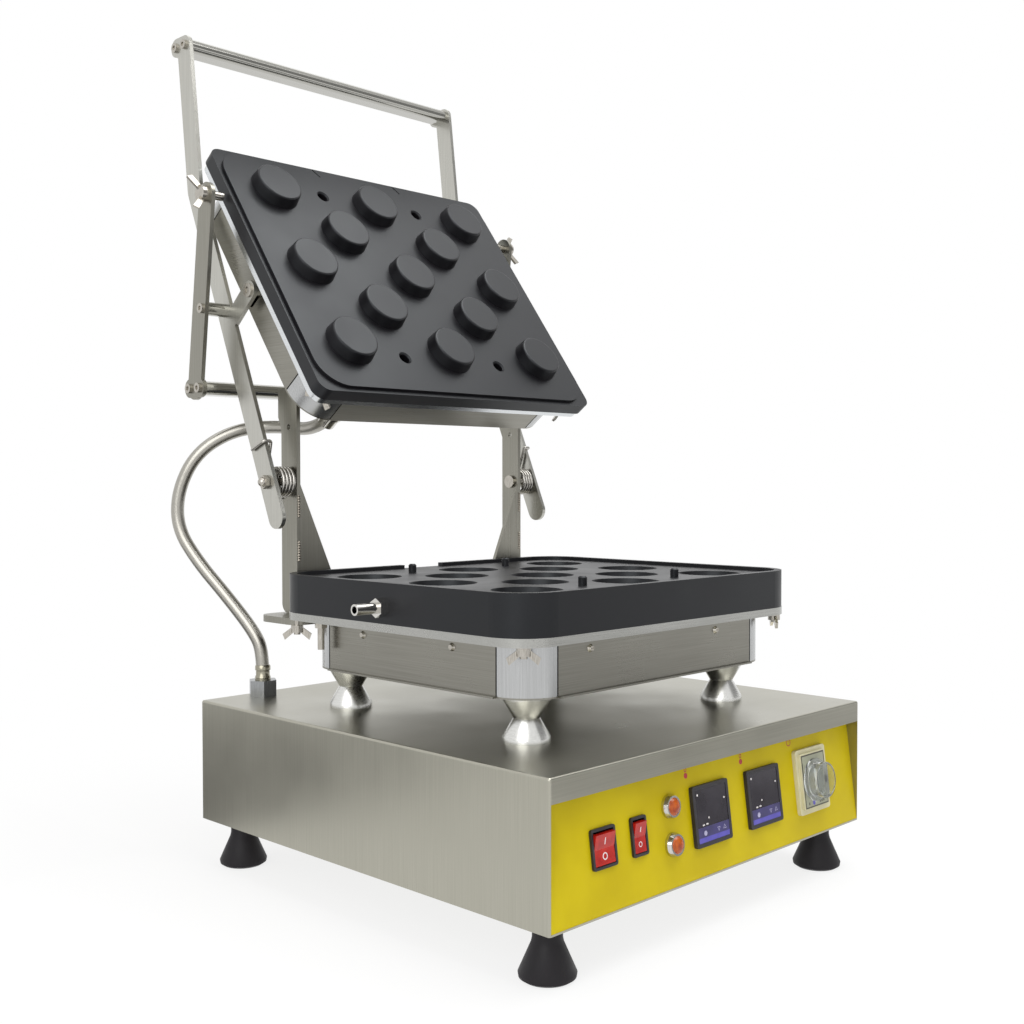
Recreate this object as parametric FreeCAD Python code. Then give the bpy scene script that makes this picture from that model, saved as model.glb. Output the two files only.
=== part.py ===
import math
import os

import FreeCAD
import Part

V = FreeCAD.Vector

# Base box: sheet housing on four rubber feet, origin under its middle on the bench.
base_width = 420.0
base_depth = 440.0
base_height = 110.0
base_sheet = 1.5
base_fold_radius = 2.0
foot_height = 42.5
foot_inset = 27.0
foot_neck_radius = 11.2
foot_flare_radius = 21.5
# outline of a foot: how far inside the flare or outside the neck, at which height
foot_flare_steps = ((3.5, 0.0), (0.5, 2.0), (0.0, 5.0))
foot_neck_steps = ((0.8, 26.5), (0.0, 30.0))

# Control panel, leaning back under a lip at the top of the front.
lip_height = 18.5
lip_depth = 17.0
panel_lean = 7.4
panel_sheet = 1.5
panel_inset = 0.3

# Controls, placed on the panel by distance from its middle (u) and up from its foot (v).
control_row_v = 47.0
power_switch_u = -146.7
power_bezel_width = 27.0
alarm_switch_u = -105.9
alarm_bezel_width = 18.0
bezel_height = 29.4
bezel_proud = 2.2
bezel_rim = 2.1
bezel_corner = 2.0
switch_body_depth = 22.0
switch_wall = 1.2
switch_floor = 4.0
rocker_gap = 0.4
rocker_end_gap = 1.3
rocker_end_proud = 3.4
rocker_middle_proud = 1.7
rocker_shoulder = 1.5
rocker_root_half = 4.0
rocker_root_depth = 9.0
rocker_swing = 14.0
rocker_pin_radius = 1.5
rocker_pin_depth = 3.0
running_gap = 0.05
lamp_u = -65.9
lamp_spacing = 29.2
lamp_ring_radius = 9.4
lamp_lens_radius = 6.8
lamp_ring_proud = 5.5
lamp_ring_land = 2.4
lamp_ring_bevel = 1.2
lamp_lens_seat = 2.0
lamp_lens_proud = 3.4
lamp_body_radius = 7.8
lamp_body_depth = 24.0
controller_u = (-15.1, 60.2)
controller_face = 48.0
controller_proud = 3.4
window_recess = 0.4
key_recess = 0.2
controller_body = 44.5
controller_body_depth = 62.0
controller_border = 3.2
controller_key_band = 12.0
controller_window_sink = 1.0
timer_u = 135.9
timer_v = 48.0
timer_width = 48.6
timer_height = 56.0
timer_step = 3.6
timer_proud = 3.4
timer_corner = 3.0
timer_step_proud = 2.0
timer_body = 44.0
timer_body_depth = 48.0
timer_dial_sheet = 0.8
timer_dial_radius = 19.6
knob_radius = 18.6
knob_skirt = 2.2
knob_drum_radius = 15.5
knob_drum_wall = 1.6
knob_drum_height = 9.0
knob_bar_width = 7.0
knob_end_gap = 1.0
knob_shaft_radius = 3.0
knob_shaft_length = 10.0
knob_dial_gap = 0.5

# Lower heater: hourglass standoffs, skirt, plate and mould, stacked on the base.
heater_y = -17.4
standoff_x = 131.0
standoff_spacing_y = 220.0
standoff_y = -12.6
standoff_height = 37.0
standoff_end_radius = 19.0
standoff_waist_radius = 10.5
standoff_land = 4.0
cover_half_x = 163.2
cover_half_y = 137.2
cover_corner = 34.0
cover_sheet = 1.5
lower_cover_height = 43.0
lower_flange = 3.0
block_depth = 9.0
block_seam = 1.3
heater_plate_thick = 7.0
heater_plate_radius = 30.0
heater_plate_inset = 1.6
mould_y = -14.3
mould_overhang_x = 20.4
mould_overhang_y = 19.1
mould_radius = 37.0
mould_height = 33.8
rim_height = 3.4
rim_width = 6.5
rim_gap_x = (-34.0, 16.0)
cup_radius = 29.0
cup_floor_radius = 26.5
cup_depth = 14.0
cup_corner = 3.0
grid_column_pitch = 122.6
grid_row_pitch = 48.85
grid_shift_y = -3.0
dowel_x = 62.0
dowel_y = 106.0
dowel_radius = 3.7
dowel_above = 8.0
dowel_below = 12.0
dowel_bevel = 1.2
fitting_y = -12.9
fitting_z_below_rim = 20.0
fitting_length = 30.5
fitting_radius = 4.6
fitting_bore = 3.0
fitting_hex = 14.0
fitting_hex_length = 9.0
element_radius = 4.0
element_gap = 0.2
element_half_x = 120.0
element_half_y = 92.0
element_bend = 24.0
element_end_x = 40.0

# Fasteners.
stud_radius = 3.0
stud_hole_gap = 0.2
stud_grip = 10.0
stud_tail = 8.5
wing_hub_radius = 5.6
wing_hub_height = 6.5
wing_reach = 13.0
wing_thick = 2.6
wing_width = 5.4
wing_rise = 8.0
wing_taper = 2.0
wing_root_gap = 0.5
corner_stud_out_x = 5.3
corner_stud_out_y = 4.0
head_stud_in_x = 5.2
head_stud_in_y = 1.2
cover_screw_radius = 3.4
cover_screw_head = 2.2
cover_screw_shank = 1.6
cover_screw_slot = 0.45
cover_screw_edge = 8.0
lower_screw_x = (-92.0, 76.0)
lower_screw_y = (-54.5, 57.0)
upper_screw_x = (-84.0, 84.0)
upper_screw_y = (-62.0, 62.0)
earth_stud_out = 8.8
earth_stud_y = 87.0
earth_stud_tail = 24.0
nut_across = 10.0
nut_height = 5.0

# Rear mount bar and the two welded posts.
mount_bar_gap = 1.2
mount_bar_depth = 60.0
mount_bar_corner = 14.0
mount_bar_thick = 6.0
mount_bar_overhang = 11.0
post_lever_gap = 21.5
post_thick = 4.0
post_set_back = 33.0
post_depth = 24.0
post_height = 209.6
post_flare = 5.0
post_flare_height = 183.0
post_flare_run = 12.0
post_foot_radius = 9.0
post_hole_back = 12.5
post_hole_height = 173.5
post_hole_radius = 2.6
gusset_width = 52.0
gusset_height = 120.0
gusset_thick = 4.0

# Lever frame, lying back at rest.
pivot_back = 11.1
pivot_height = 122.4
pivot_pin_radius = 3.8
pivot_nut_across = 11.0
pivot_nut_height = 4.0
pivot_nut_land = 1.0
pivot_head_height = 3.0
pivot_head_rim = 3.0
lever_side_gap = 6.8
lever_thick = 4.0
lever_width = 22.0
lever_lean = 22.9
lever_tail = 34.3
lever_bend = 310.0
arm_length = 142.0
arm_lean = 6.8
ear_radius = 9.0
ear_root = 161.0
grip_back = 6.0
grip_rise = 3.0
oval_depth = 28.0
oval_height = 13.0
oval_lobe_rim = 2.5
oval_screw_offset = 8.0
stay_gap = 20.0
stay_thick = 4.0
stay_width = 22.0
stay_foot_back = 82.9
stay_foot_rise = 88.8
stay_head_back = 61.2
stay_head_rise = 268.0
spacer_rise = 162.7
spacer_radius = 6.4
clamp_radius = 4.0
clamp_hub_radius = 7.5
clamp_reach = 17.0
clamp_inside = 14.0
clamp_rise = 11.0
clamp_turn = 20
frame_screw_radius = 2.5
frame_screw_head_radius = 4.6
frame_screw_head = 2.6
frame_screw_depth = 12.0
frame_screw_socket = 4.0
frame_screw_socket_depth = 1.4

# Head, drawn level in its own frame: zero at the middle of its face, z away from the plugs.
head_tilt = 126.35
head_rest_lean = 8.78
closed_drop = 32.3
head_overhang_x = 13.5
head_overhang_y = 12.5
head_plate_radius = 12.0
plateau_height = 3.0
plateau_inset = 4.2
plateau_radius = 30.0
head_mould_thick = 16.0
plug_radius = 25.0
plug_tip_radius = 23.0
plug_height = 12.0
plug_corner = 2.0
dowel_hole_radius = 5.5
dowel_hole_depth = 10.0
dowel_ring_radius = 7.0
mark_depth = 0.8
mark_width = 1.8
mark_reach = 10.0
mark_x = (-60.0, 46.0)
mark_skew = 6.5
upper_cover_height = 36.0
head_pivot_y = 2.5
head_pivot_z = 37.5
seat_gap = 0.8
shaft_radius = 5.0
shaft_side_gap = 0.4
pivot_bolt_radius = 3.0
pivot_bolt_depth = 20.0
pivot_bolt_end_gap = 1.0
pivot_bolt_socket = 6.0
pivot_bolt_socket_depth = 1.0
pivot_bolt_head_radius = 6.5
pivot_bolt_head = 1.8
guide_thick = 6.0
guide_half_y = 16.0
slot_side_gap = 0.35

# Torsion springs round the lever pivots.
spring_wire_radius = 1.6
spring_clear = 0.3
spring_turns = 4
spring_pitch = 3.7
spring_post_leg = 16.0
spring_lead = 40.0
spring_hook = 20.0
spring_bend = 2.2

# Armoured conduit from the base to the back of the head.
hose_radius = 6.2
gland_in = 45.2
gland_y = 126.0
gland_bore_gap = 0.4
gland_wall = 2.2
gland_length = 16.0
gland_collar_radius = 10.0
gland_collar = 4.0
hose_head_tail = 2.0
hose_head_run = 28.5
conduit_in = 55.0
conduit_back = 23.0
conduit_hex = 24.0
conduit_hex_height = 15.0
ferrule_radius = 7.4
ferrule_height = 14.0
hose_insert = 12.0
hose_joint_gap = 0.15
# corners of the hose: out, back and up from the left post at pivot height, then from the base nut
hose_by_post = ((28.7, 12.0, 51.3), (26.3, 51.8, 54.9), (-7.5, 71.0, 50.0), (-35.5, 90.5, 28.0))
hose_by_base = ((-41.5, 80.5, 194.0), (-42.0, 81.0, 158.0), (-31.0, 61.5, 125.0), (-17.0, 34.0, 93.0),
                (-4.0, 8.0, 60.0), (0.0, 0.0, 41.5))

# Inside the base.
terminal_size = (90.0, 34.0, 28.0)
terminal_place = (40.0, 120.0)
relay_size = (45.0, 60.0, 24.0)
relay_places = (-60.0, 0.0)
relay_y = -20.0
buzzer_radius = 14.0
buzzer_height = 16.0
buzzer_place = (-120.0, 60.0)
inlet_in = 60.0
inlet_up = 36.0
inlet_hex = 22.0
inlet_collar = 6.0
inlet_dome_radius = 8.5
inlet_dome = 12.0
inlet_bore = 4.5
inlet_thread_radius = 8.0

# How far a cutting tool runs past what it cuts.
through = 5.0

# Levels that follow from the sizes above.
base_floor = foot_height
base_top = foot_height + base_height
skirt_floor = base_top + standoff_height
plate_floor = skirt_floor + lower_cover_height
mould_floor = plate_floor + heater_plate_thick
rim_top = mould_floor + mould_height
cup_rim = rim_top - rim_height
head_plate_z = head_mould_thick
head_cover_z = head_mould_thick + heater_plate_thick
head_back_z = head_cover_z + upper_cover_height
mould_half_x = cover_half_x + mould_overhang_x
mould_half_y = cover_half_y + mould_overhang_y
head_half_x = cover_half_x + head_overhang_x
head_half_y = cover_half_y + head_overhang_y
corner_stud_x = cover_half_x + corner_stud_out_x
corner_stud_y = cover_half_y + corner_stud_out_y
head_stud_x = cover_half_x - head_stud_in_x
head_stud_y = cover_half_y - head_stud_in_y
earth_stud_x = -cover_half_x - earth_stud_out
mount_bar_half_x = cover_half_x + mount_bar_overhang
mount_bar_front = heater_y + cover_half_y + mount_bar_gap
mount_bar_rear = mount_bar_front + mount_bar_depth
post_front = mount_bar_front + post_set_back
post_rear = post_front + post_depth
post_top = plate_floor + post_height
post_flare_z = plate_floor + post_flare_height
post_hole_y = post_front + post_hole_back
post_hole_z = plate_floor + post_hole_height
gusset_top = plate_floor + gusset_height
pivot_y = post_front + pivot_back
pivot_z = plate_floor + pivot_height
lever_inner_x = cover_half_x + lever_side_gap
post_outer_x = lever_inner_x - post_lever_gap
stay_inner_x = lever_inner_x + lever_thick + stay_gap
stay_foot_y = pivot_y + stay_foot_back
stay_foot_z = pivot_z + stay_foot_rise
stay_head_y = pivot_y + stay_head_back
stay_head_z = pivot_z + stay_head_rise
spacer_y = pivot_y + spacer_rise * math.tan(math.radians(lever_lean))
spacer_z = pivot_z + spacer_rise
gland_x = gland_in - cover_half_x
conduit_x = conduit_in - base_width / 2
inlet_x = base_width / 2 - inlet_in
inlet_z = foot_height + inlet_up
conduit_y = post_rear + conduit_back
panel_turn = math.radians(panel_lean)
panel_foot = V(0, panel_inset - base_depth / 2, base_floor + base_sheet)

# The head pivot swings as far from the lever pivot as the middle of the mould is, measured level.
closed_y = mould_y + head_pivot_y - pivot_y
swing_radius = math.hypot(closed_y, closed_drop)
rest_lean = math.radians(head_rest_lean)
head_pivot = V(0, pivot_y + swing_radius * math.sin(rest_lean), pivot_z + swing_radius * math.cos(rest_lean))
head_turn = FreeCAD.Rotation(V(1, 0, 0), -head_tilt)
head_face = head_pivot.sub(head_turn.multVec(V(0, head_pivot_y, head_pivot_z)))


def box(x0, x1, y0, y1, z0, z1):
    return Part.makeBox(x1 - x0, y1 - y0, z1 - z0, V(x0, y0, z0))


def rod(start, end, radius):
    run = end.sub(start)
    return Part.makeCylinder(radius, run.Length, start, run)


def rod_x(x0, x1, y, z, radius):
    return rod(V(x0, y, z), V(x1, y, z), radius)


def rod_z(x, y, z0, z1, radius):
    return rod(V(x, y, z0), V(x, y, z1), radius)


def prism(points, run):
    return Part.Face(Part.makePolygon(list(points) + [points[0]])).extrude(run)


def joined(shapes):
    return shapes[0].multiFuse(shapes[1:]).removeSplitter()


def cut(shape, tools):
    return shape.cut(Part.makeCompound(list(tools)))


def edges_along(shape, axis):
    return [e for e in shape.Edges if e.Length > 0.1
            and abs(abs(e.tangentAt(e.FirstParameter).dot(axis)) - 1) < 1e-6
            and e.Curve.TypeId == "Part::GeomLine"]


def rounded_box(x0, x1, y0, y1, z0, z1, radius):
    block = box(x0, x1, y0, y1, z0, z1)
    return block.makeFillet(radius, edges_along(block, V(0, 0, 1)))


def turned(profile, x, y):
    face = Part.Face(Part.makePolygon([V(r, 0, z) for r, z in profile + profile[:1]]))
    return face.revolve(V(), V(0, 0, 1), 360).translated(V(x, y, 0))


def hexagon(start, axis, across, length):
    corner = across / math.sqrt(3)
    ring = [V(corner * math.cos(math.radians(60 * k)), corner * math.sin(math.radians(60 * k)), 0)
            for k in range(6)]
    nut = prism(ring, V(0, 0, length))
    nut.Placement = FreeCAD.Placement(start, FreeCAD.Rotation(V(0, 0, 1), axis))
    return nut


def both_sides(shape):
    return [shape, shape.mirror(V(), V(1, 0, 0))]


nodes = {}


def save(node, *shapes):
    nodes[node] = shapes[0] if len(shapes) == 1 else Part.makeCompound(list(shapes))


def on_panel(shape):
    # drawn with u along x, outward along -y and v up z
    shape.Placement = FreeCAD.Placement(
        panel_foot, FreeCAD.Rotation(V(1, 0, 0), -panel_lean)).multiply(shape.Placement)
    return shape


def on_head(shape):
    shape.Placement = FreeCAD.Placement(head_face, head_turn).multiply(shape.Placement)
    return shape


def head_point(x, y, z):
    return head_face.add(head_turn.multVec(V(x, y, z)))


def grid_places(centre_y):
    places = []
    for row in range(-2, 3):
        columns = (-1, 0, 1) if row % 2 == 0 else (-0.5, 0.5)
        for column in columns:
            places.append((column * grid_column_pitch, centre_y + grid_shift_y + row * grid_row_pitch))
    return places


def corners(half_x, half_y, centre_y):
    return [(sx * half_x, centre_y + sy * half_y) for sx in (-1, 1) for sy in (-1, 1)]


def cover_block(centre_y, z0, z1, inside):
    # the skirt's outline, drawn in by a wall
    x, y = cover_half_x - inside, cover_half_y - inside
    return rounded_box(-x, x, centre_y - y, centre_y + y, z0, z1, cover_corner - inside)


def corner_zones(centre_y, z0, z1, seam):
    # boxes over the four round corners, short of the straight sides by a seam
    zones = []
    for sx, sy in ((-1, -1), (-1, 1), (1, -1), (1, 1)):
        x, y = sorted((sx * (cover_half_x - cover_corner + seam), sx * (cover_half_x + through))), \
            sorted((sy * (cover_half_y - cover_corner + seam), sy * (cover_half_y + through)))
        zones.append(box(x[0], x[1], centre_y + y[0], centre_y + y[1], z0, z1))
    return zones


def heater_cover(centre_y, z0, z1, closed_low):
    # folded skirt with one closed side and an opening at each round corner
    inner_z0 = z0 + cover_sheet if closed_low else z0
    inner_z1 = z1 if closed_low else z1 - cover_sheet
    hollow = cover_block(centre_y, inner_z0, inner_z1, cover_sheet)
    return cut(cover_block(centre_y, z0, z1, 0), [hollow] + corner_zones(centre_y, inner_z0, inner_z1, 0))


def corner_blocks(centre_y, z0, z1):
    wall = cover_block(centre_y, z0, z1, 0).cut(cover_block(centre_y, z0, z1, block_depth))
    return [wall.common(zone) for zone in corner_zones(centre_y, z0, z1, block_seam)]


def wing_body(hub_radius, reach, rise):
    # hub standing up z from its seat, two wings raised to the sides along y
    root = hub_radius / 2
    outline = [(root, wing_root_gap), (reach, rise), (reach - wing_taper, rise + wing_width),
               (root, wing_hub_height)]
    wings = [prism([V(-wing_thick / 2, side * out, up) for out, up in outline], V(wing_thick, 0, 0))
             for side in (-1, 1)]
    return joined([rod_z(0, 0, 0, wing_hub_height, hub_radius)] + wings)


def wing_nut(x, y, z, corner_turn, up):
    # seated on a plate's corner, its wings across the corner
    nut = wing_body(wing_hub_radius, wing_reach, wing_rise).cut(rod_z(0, 0, -1, 3 * wing_hub_height, stud_radius))
    flip = FreeCAD.Rotation(V(1, 0, 0), 0 if up else 180)
    nut.Placement = FreeCAD.Placement(V(x, y, z), FreeCAD.Rotation(V(0, 0, 1), corner_turn).multiply(flip))
    return nut


def corner_turn(x, y):
    return 45 if x * y > 0 else -45


def route(points):
    # straight runs joined by tangent arcs; returns the edges and the arc radii
    edges, radii, at = [], [], points[0]
    for before, corner, after in zip(points, points[1:], points[2:]):
        back, ahead = before.sub(corner), after.sub(corner)
        short = min(back.Length, ahead.Length)
        half_turn = (math.pi - back.getAngle(ahead)) / 2
        reach = 0.45 * short
        radii.append(reach / math.tan(half_turn))
        start = corner.add(back.normalize().multiply(reach))
        end = corner.add(ahead.normalize().multiply(reach))
        chord_mid = start.add(end).multiply(0.5)
        rise = corner.sub(chord_mid)
        bow = radii[-1] * (1 - math.cos(half_turn))
        edges.append(Part.makeLine(at, start))
        edges.append(Part.Arc(start, chord_mid.add(rise.normalize().multiply(bow)), end).toShape())
        at = end
    edges.append(Part.makeLine(at, points[-1]))
    return edges, radii


def tube(edges, radius):
    wire = Part.Wire(edges)
    start = edges[0].valueAt(edges[0].FirstParameter)
    ring = Part.Wire(Part.makeCircle(radius, start, edges[0].tangentAt(edges[0].FirstParameter)))
    return wire.makePipeShell([ring], True, False)


def hose(points, name):
    edges, radii = route(points)
    shape = tube(edges, hose_radius)
    length = sum(e.Length for e in edges)
    print(name, "length %.1f" % length, "radii", ["%.0f" % r for r in radii],
          "volume ratio %.4f" % (shape.Volume / (math.pi * hose_radius ** 2 * length)))
    return shape


def biarc(p0, t0, p1, t1):
    # two arcs in space that meet the ends and the tangents at the ends
    chord, both = p1.sub(p0), t0.add(t1)
    spread = 2 * (1 - t0.dot(t1))
    along = chord.dot(both)
    reach = (math.sqrt(along * along + spread * chord.dot(chord)) - along) / spread
    a = p0.add(V(t0).multiply(reach))
    b = p1.sub(V(t1).multiply(reach))
    middle = a.add(b).multiply(0.5)
    arcs = []
    for start, knee, end in ((p0, a, middle), (middle, b, p1)):
        chord_mid = start.add(end).multiply(0.5)
        rise = knee.sub(chord_mid)
        half = end.sub(start).Length / 2
        bow = half * math.tan(math.atan2(rise.Length, half) / 2)
        arcs.append(Part.Arc(start, chord_mid.add(V(rise).normalize().multiply(bow)), end).toShape())
    return arcs


def panel_box(u, v, width, height, near, far):
    # near and far count outward from the panel's face
    return box(u - width / 2, u + width / 2, -far, -near, v - height / 2, v + height / 2)


def rounded_panel_box(u, v, width, height, near, far, radius):
    block = panel_box(u, v, width, height, near, far)
    return block.makeFillet(radius, edges_along(block, V(0, 1, 0)))


def panel_rod(u, v, radius, near, far):
    return rod(V(u, -near, v), V(u, -far, v), radius)


def rocker_switch(u, bezel_width):
    hole_w, hole_h = bezel_width - 2 * bezel_rim, bezel_height - 2 * bezel_rim
    body_w, body_h = hole_w + 2 * switch_wall, hole_h + 2 * switch_wall
    body = panel_box(u, control_row_v, body_w, body_h, -switch_body_depth, 0)
    bezel = rounded_panel_box(u, control_row_v, bezel_width, bezel_height, 0, bezel_proud, bezel_corner)
    well = panel_box(u, control_row_v, hole_w, hole_h, switch_floor - switch_body_depth, bezel_proud)
    pin = rod_x(u - body_w / 2, u + body_w / 2, rocker_pin_depth, control_row_v, rocker_pin_radius)
    frame = joined([joined([body, bezel]).cut(well), pin])
    half = hole_h / 2 - rocker_end_gap
    outline = [(half, rocker_end_proud), (0.0, rocker_middle_proud), (-half, rocker_end_proud),
               (-half, -rocker_shoulder), (-rocker_root_half, -rocker_root_depth),
               (rocker_root_half, -rocker_root_depth), (half, -rocker_shoulder)]
    width = hole_w - 2 * rocker_gap
    rocker = prism([V(u - width / 2, -w, control_row_v + v) for v, w in outline], V(width, 0, 0))
    bore = rod_x(u - hole_w, u + hole_w, rocker_pin_depth, control_row_v, rocker_pin_radius + running_gap)
    rocker = rocker.cut(bore)
    rocker.rotate(V(u, rocker_pin_depth, control_row_v), V(1, 0, 0), rocker_swing / 2)
    return frame, rocker


def stadium(y, z, depth, height, x0, x1):
    straight = depth / 2 - height / 2
    return joined([box(x0, x1, y - straight, y + straight, z - height / 2, z + height / 2)]
                  + [rod_x(x0, x1, y + s * straight, z, height / 2) for s in (-1, 1)])


def strip(start, end, width, x0, x1):
    # flat bar with round ends between two (y, z) places
    run = V(0, end[0] - start[0], end[1] - start[1])
    side = V(0, -run.z, run.y).normalize().multiply(width / 2)
    a, b = V(x0, *start), V(x0, *end)
    bar = prism([a.add(side), b.add(side), b.sub(side), a.sub(side)], V(x1 - x0, 0, 0))
    ends = [rod(V(x0, *place), V(x1, *place), width / 2) for place in (start, end)]
    return joined([bar] + ends)


def frame_screw(x_face, y, z):
    head = rod_x(x_face, x_face - frame_screw_head, y, z, frame_screw_head_radius)
    socket = hexagon(V(x_face - frame_screw_head, y, z), V(1, 0, 0), frame_screw_socket,
                     frame_screw_socket_depth)
    shank = rod_x(x_face, x_face + frame_screw_depth, y, z, frame_screw_radius)
    return joined([head.cut(socket), shank])


# Base housing, floor and feet
half_w, half_d = base_width / 2, base_depth / 2
lip_foot = base_top - lip_height
outer = box(-half_w, half_w, -half_d, half_d, base_floor, base_top)
folds = edges_along(outer, V(0, 0, 1)) + [e for e in outer.Edges if abs(e.CenterOfMass.z - base_top) < 1e-6]
outer = outer.makeFillet(base_fold_radius, folds)
inside = box(-half_w + base_sheet, half_w - base_sheet, -half_d + base_sheet, half_d - base_sheet,
             base_floor, base_top - base_sheet)
front_gap = box(-half_w + base_sheet, half_w - base_sheet, -half_d, -half_d + base_sheet,
                base_floor, lip_foot)
shelf = box(-half_w + base_sheet, half_w - base_sheet, -half_d + base_sheet, -half_d + lip_depth,
            lip_foot, lip_foot + base_sheet)
standoff_places = corners(standoff_x, standoff_spacing_y / 2, standoff_y)
conduit_hole = rod_z(conduit_x, conduit_y, base_top - 5, base_top + 5, hose_radius)
inlet_hole = rod(V(inlet_x, half_d - 5, inlet_z), V(inlet_x, half_d + 5, inlet_z), inlet_thread_radius)
housing = joined([cut(outer, [inside, front_gap]), shelf])
save("base_housing", cut(housing, [conduit_hole, inlet_hole]))
save("base_floor_plate", box(-half_w + base_sheet, half_w - base_sheet, -half_d, half_d - base_sheet,
                             base_floor, base_floor + base_sheet))
foot_profile = [(0, 0)]
foot_profile += [(foot_flare_radius - inside, z) for inside, z in foot_flare_steps]
foot_profile += [(foot_neck_radius + outside, z) for outside, z in foot_neck_steps]
foot_profile += [(foot_neck_radius, foot_height), (0, foot_height)]
feet = [turned(foot_profile, x, y) for x, y in corners(half_w - foot_inset, half_d - foot_inset, 0)]
save("rubber_feet", *feet)

# Panel with its cut-outs
panel_height = lip_foot - panel_foot.z
panel_set_back = panel_height * math.tan(panel_turn)
panel_run = panel_sheet / math.cos(panel_turn)
side = V(-half_w + base_sheet, panel_foot.y, panel_foot.z)
panel = prism([side, side.add(V(0, panel_set_back, panel_height)),
               side.add(V(0, panel_set_back + panel_run, panel_height)), side.add(V(0, panel_run, 0))],
              V(base_width - 2 * base_sheet, 0, 0))
switch_holes = []
for u, width in ((power_switch_u, power_bezel_width), (alarm_switch_u, alarm_bezel_width)):
    switch_holes.append(panel_box(u, control_row_v, width - 2 * bezel_rim + 2 * switch_wall,
                                  bezel_height - 2 * bezel_rim + 2 * switch_wall, -through, through))
lamp_places = [control_row_v + s * lamp_spacing / 2 for s in (-1, 1)]
lamp_holes = [panel_rod(lamp_u, v, lamp_body_radius, -through, through) for v in lamp_places]
square_holes = [panel_box(u, control_row_v, controller_body, controller_body, -through, through)
                for u in controller_u]
square_holes.append(panel_box(timer_u, timer_v, timer_body, timer_body, -through, through))
save("control_panel", cut(panel, [on_panel(hole) for hole in switch_holes + lamp_holes + square_holes]))

# Switches, lamps, controllers and timer
for name, u, width in (("power", power_switch_u, power_bezel_width),
                       ("alarm", alarm_switch_u, alarm_bezel_width)):
    frame, rocker = rocker_switch(u, width)
    save(name + "_switch_frame", on_panel(frame))
    save(name + "_rocker", on_panel(rocker))
rings, lenses = [], []
for v in lamp_places:
    ring = turned([(0, -lamp_body_depth), (lamp_body_radius, -lamp_body_depth), (lamp_body_radius, 0),
                   (lamp_ring_radius, 0), (lamp_ring_radius, lamp_ring_land),
                   (lamp_ring_radius - lamp_ring_bevel, lamp_ring_proud), (lamp_lens_radius, lamp_ring_proud),
                   (lamp_lens_radius, lamp_lens_seat), (0, lamp_lens_seat)], 0, 0)
    ring.rotate(V(), V(1, 0, 0), 90)
    rings.append(on_panel(ring.translated(V(lamp_u, 0, v))))
    dome_radius = (lamp_lens_radius ** 2 + lamp_lens_proud ** 2) / (2 * lamp_lens_proud)
    dome = Part.makeSphere(dome_radius, V(0, 0, lamp_ring_proud + lamp_lens_proud - dome_radius))
    column = rod_z(0, 0, lamp_lens_seat, lamp_ring_proud + lamp_lens_proud, lamp_lens_radius)
    stem = rod_z(0, 0, lamp_lens_seat, lamp_ring_proud, lamp_lens_radius)
    lens = joined([stem, dome.common(column)])
    lens.rotate(V(), V(1, 0, 0), 90)
    lenses.append(on_panel(lens.translated(V(lamp_u, 0, v))))
save("lamp_bezels", *rings)
save("lamp_lenses", *lenses)
cases, windows, key_rows = [], [], []
for u in controller_u:
    front = rounded_panel_box(u, control_row_v, controller_face, controller_face, 0, controller_proud,
                              bezel_corner)
    back = panel_box(u, control_row_v, controller_body, controller_body, -controller_body_depth, 0)
    case = joined([front, back])
    face_w = controller_face - 2 * controller_border
    sink = controller_proud - controller_window_sink
    window_v = control_row_v + controller_key_band / 2
    recess = panel_box(u, control_row_v, face_w, face_w, sink, controller_proud + 1)
    window = panel_box(u, window_v, face_w, face_w - controller_key_band, sink,
                       controller_proud - window_recess)
    keys = panel_box(u, control_row_v - face_w / 2 + controller_key_band / 2, face_w, controller_key_band,
                     sink, controller_proud - key_recess)
    cases.append(on_panel(case.cut(recess)))
    windows.append(on_panel(window))
    key_rows.append(on_panel(keys))
save("controller_cases", *cases)
save("controller_windows", *windows)
save("controller_keys", *key_rows)
timer_top = timer_proud + timer_step_proud
tier = rounded_panel_box(timer_u, timer_v, timer_width, timer_height, 0, timer_proud, timer_corner)
step = rounded_panel_box(timer_u, timer_v, timer_width - 2 * timer_step, timer_height - 2 * timer_step,
                         timer_proud, timer_top, timer_corner)
timer_case = joined([tier, step, panel_box(timer_u, timer_v, timer_body, timer_body, -timer_body_depth, 0)])
dial_floor = timer_top - timer_dial_sheet
dial_well = panel_rod(timer_u, timer_v, timer_dial_radius, dial_floor, timer_top + 1)
shaft_bore = panel_rod(timer_u, timer_v, knob_shaft_radius + running_gap, -knob_shaft_length, timer_top + 1)
dial = panel_rod(timer_u, timer_v, timer_dial_radius, dial_floor, timer_top)
save("timer_case", on_panel(cut(timer_case, [dial_well, shaft_bore])))
save("timer_dial", on_panel(dial.cut(shaft_bore)))
knob_foot = timer_top + knob_dial_gap
drum_foot = knob_foot + knob_skirt
drum_top = drum_foot + knob_drum_height
drum = panel_rod(timer_u, timer_v, knob_drum_radius, drum_foot, drum_top)
drum_well = panel_rod(timer_u, timer_v, knob_drum_radius - knob_drum_wall, drum_foot, drum_top)
drum_bar = panel_box(timer_u, timer_v, knob_bar_width, 2 * knob_drum_radius, drum_foot, drum_top)
knob = joined([panel_rod(timer_u, timer_v, knob_radius, knob_foot, knob_foot + knob_skirt),
               drum.cut(drum_well), drum.common(drum_bar),
               panel_rod(timer_u, timer_v, knob_shaft_radius, knob_end_gap - knob_shaft_length, knob_foot)])
save("timer_knob", on_panel(knob))

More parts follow.
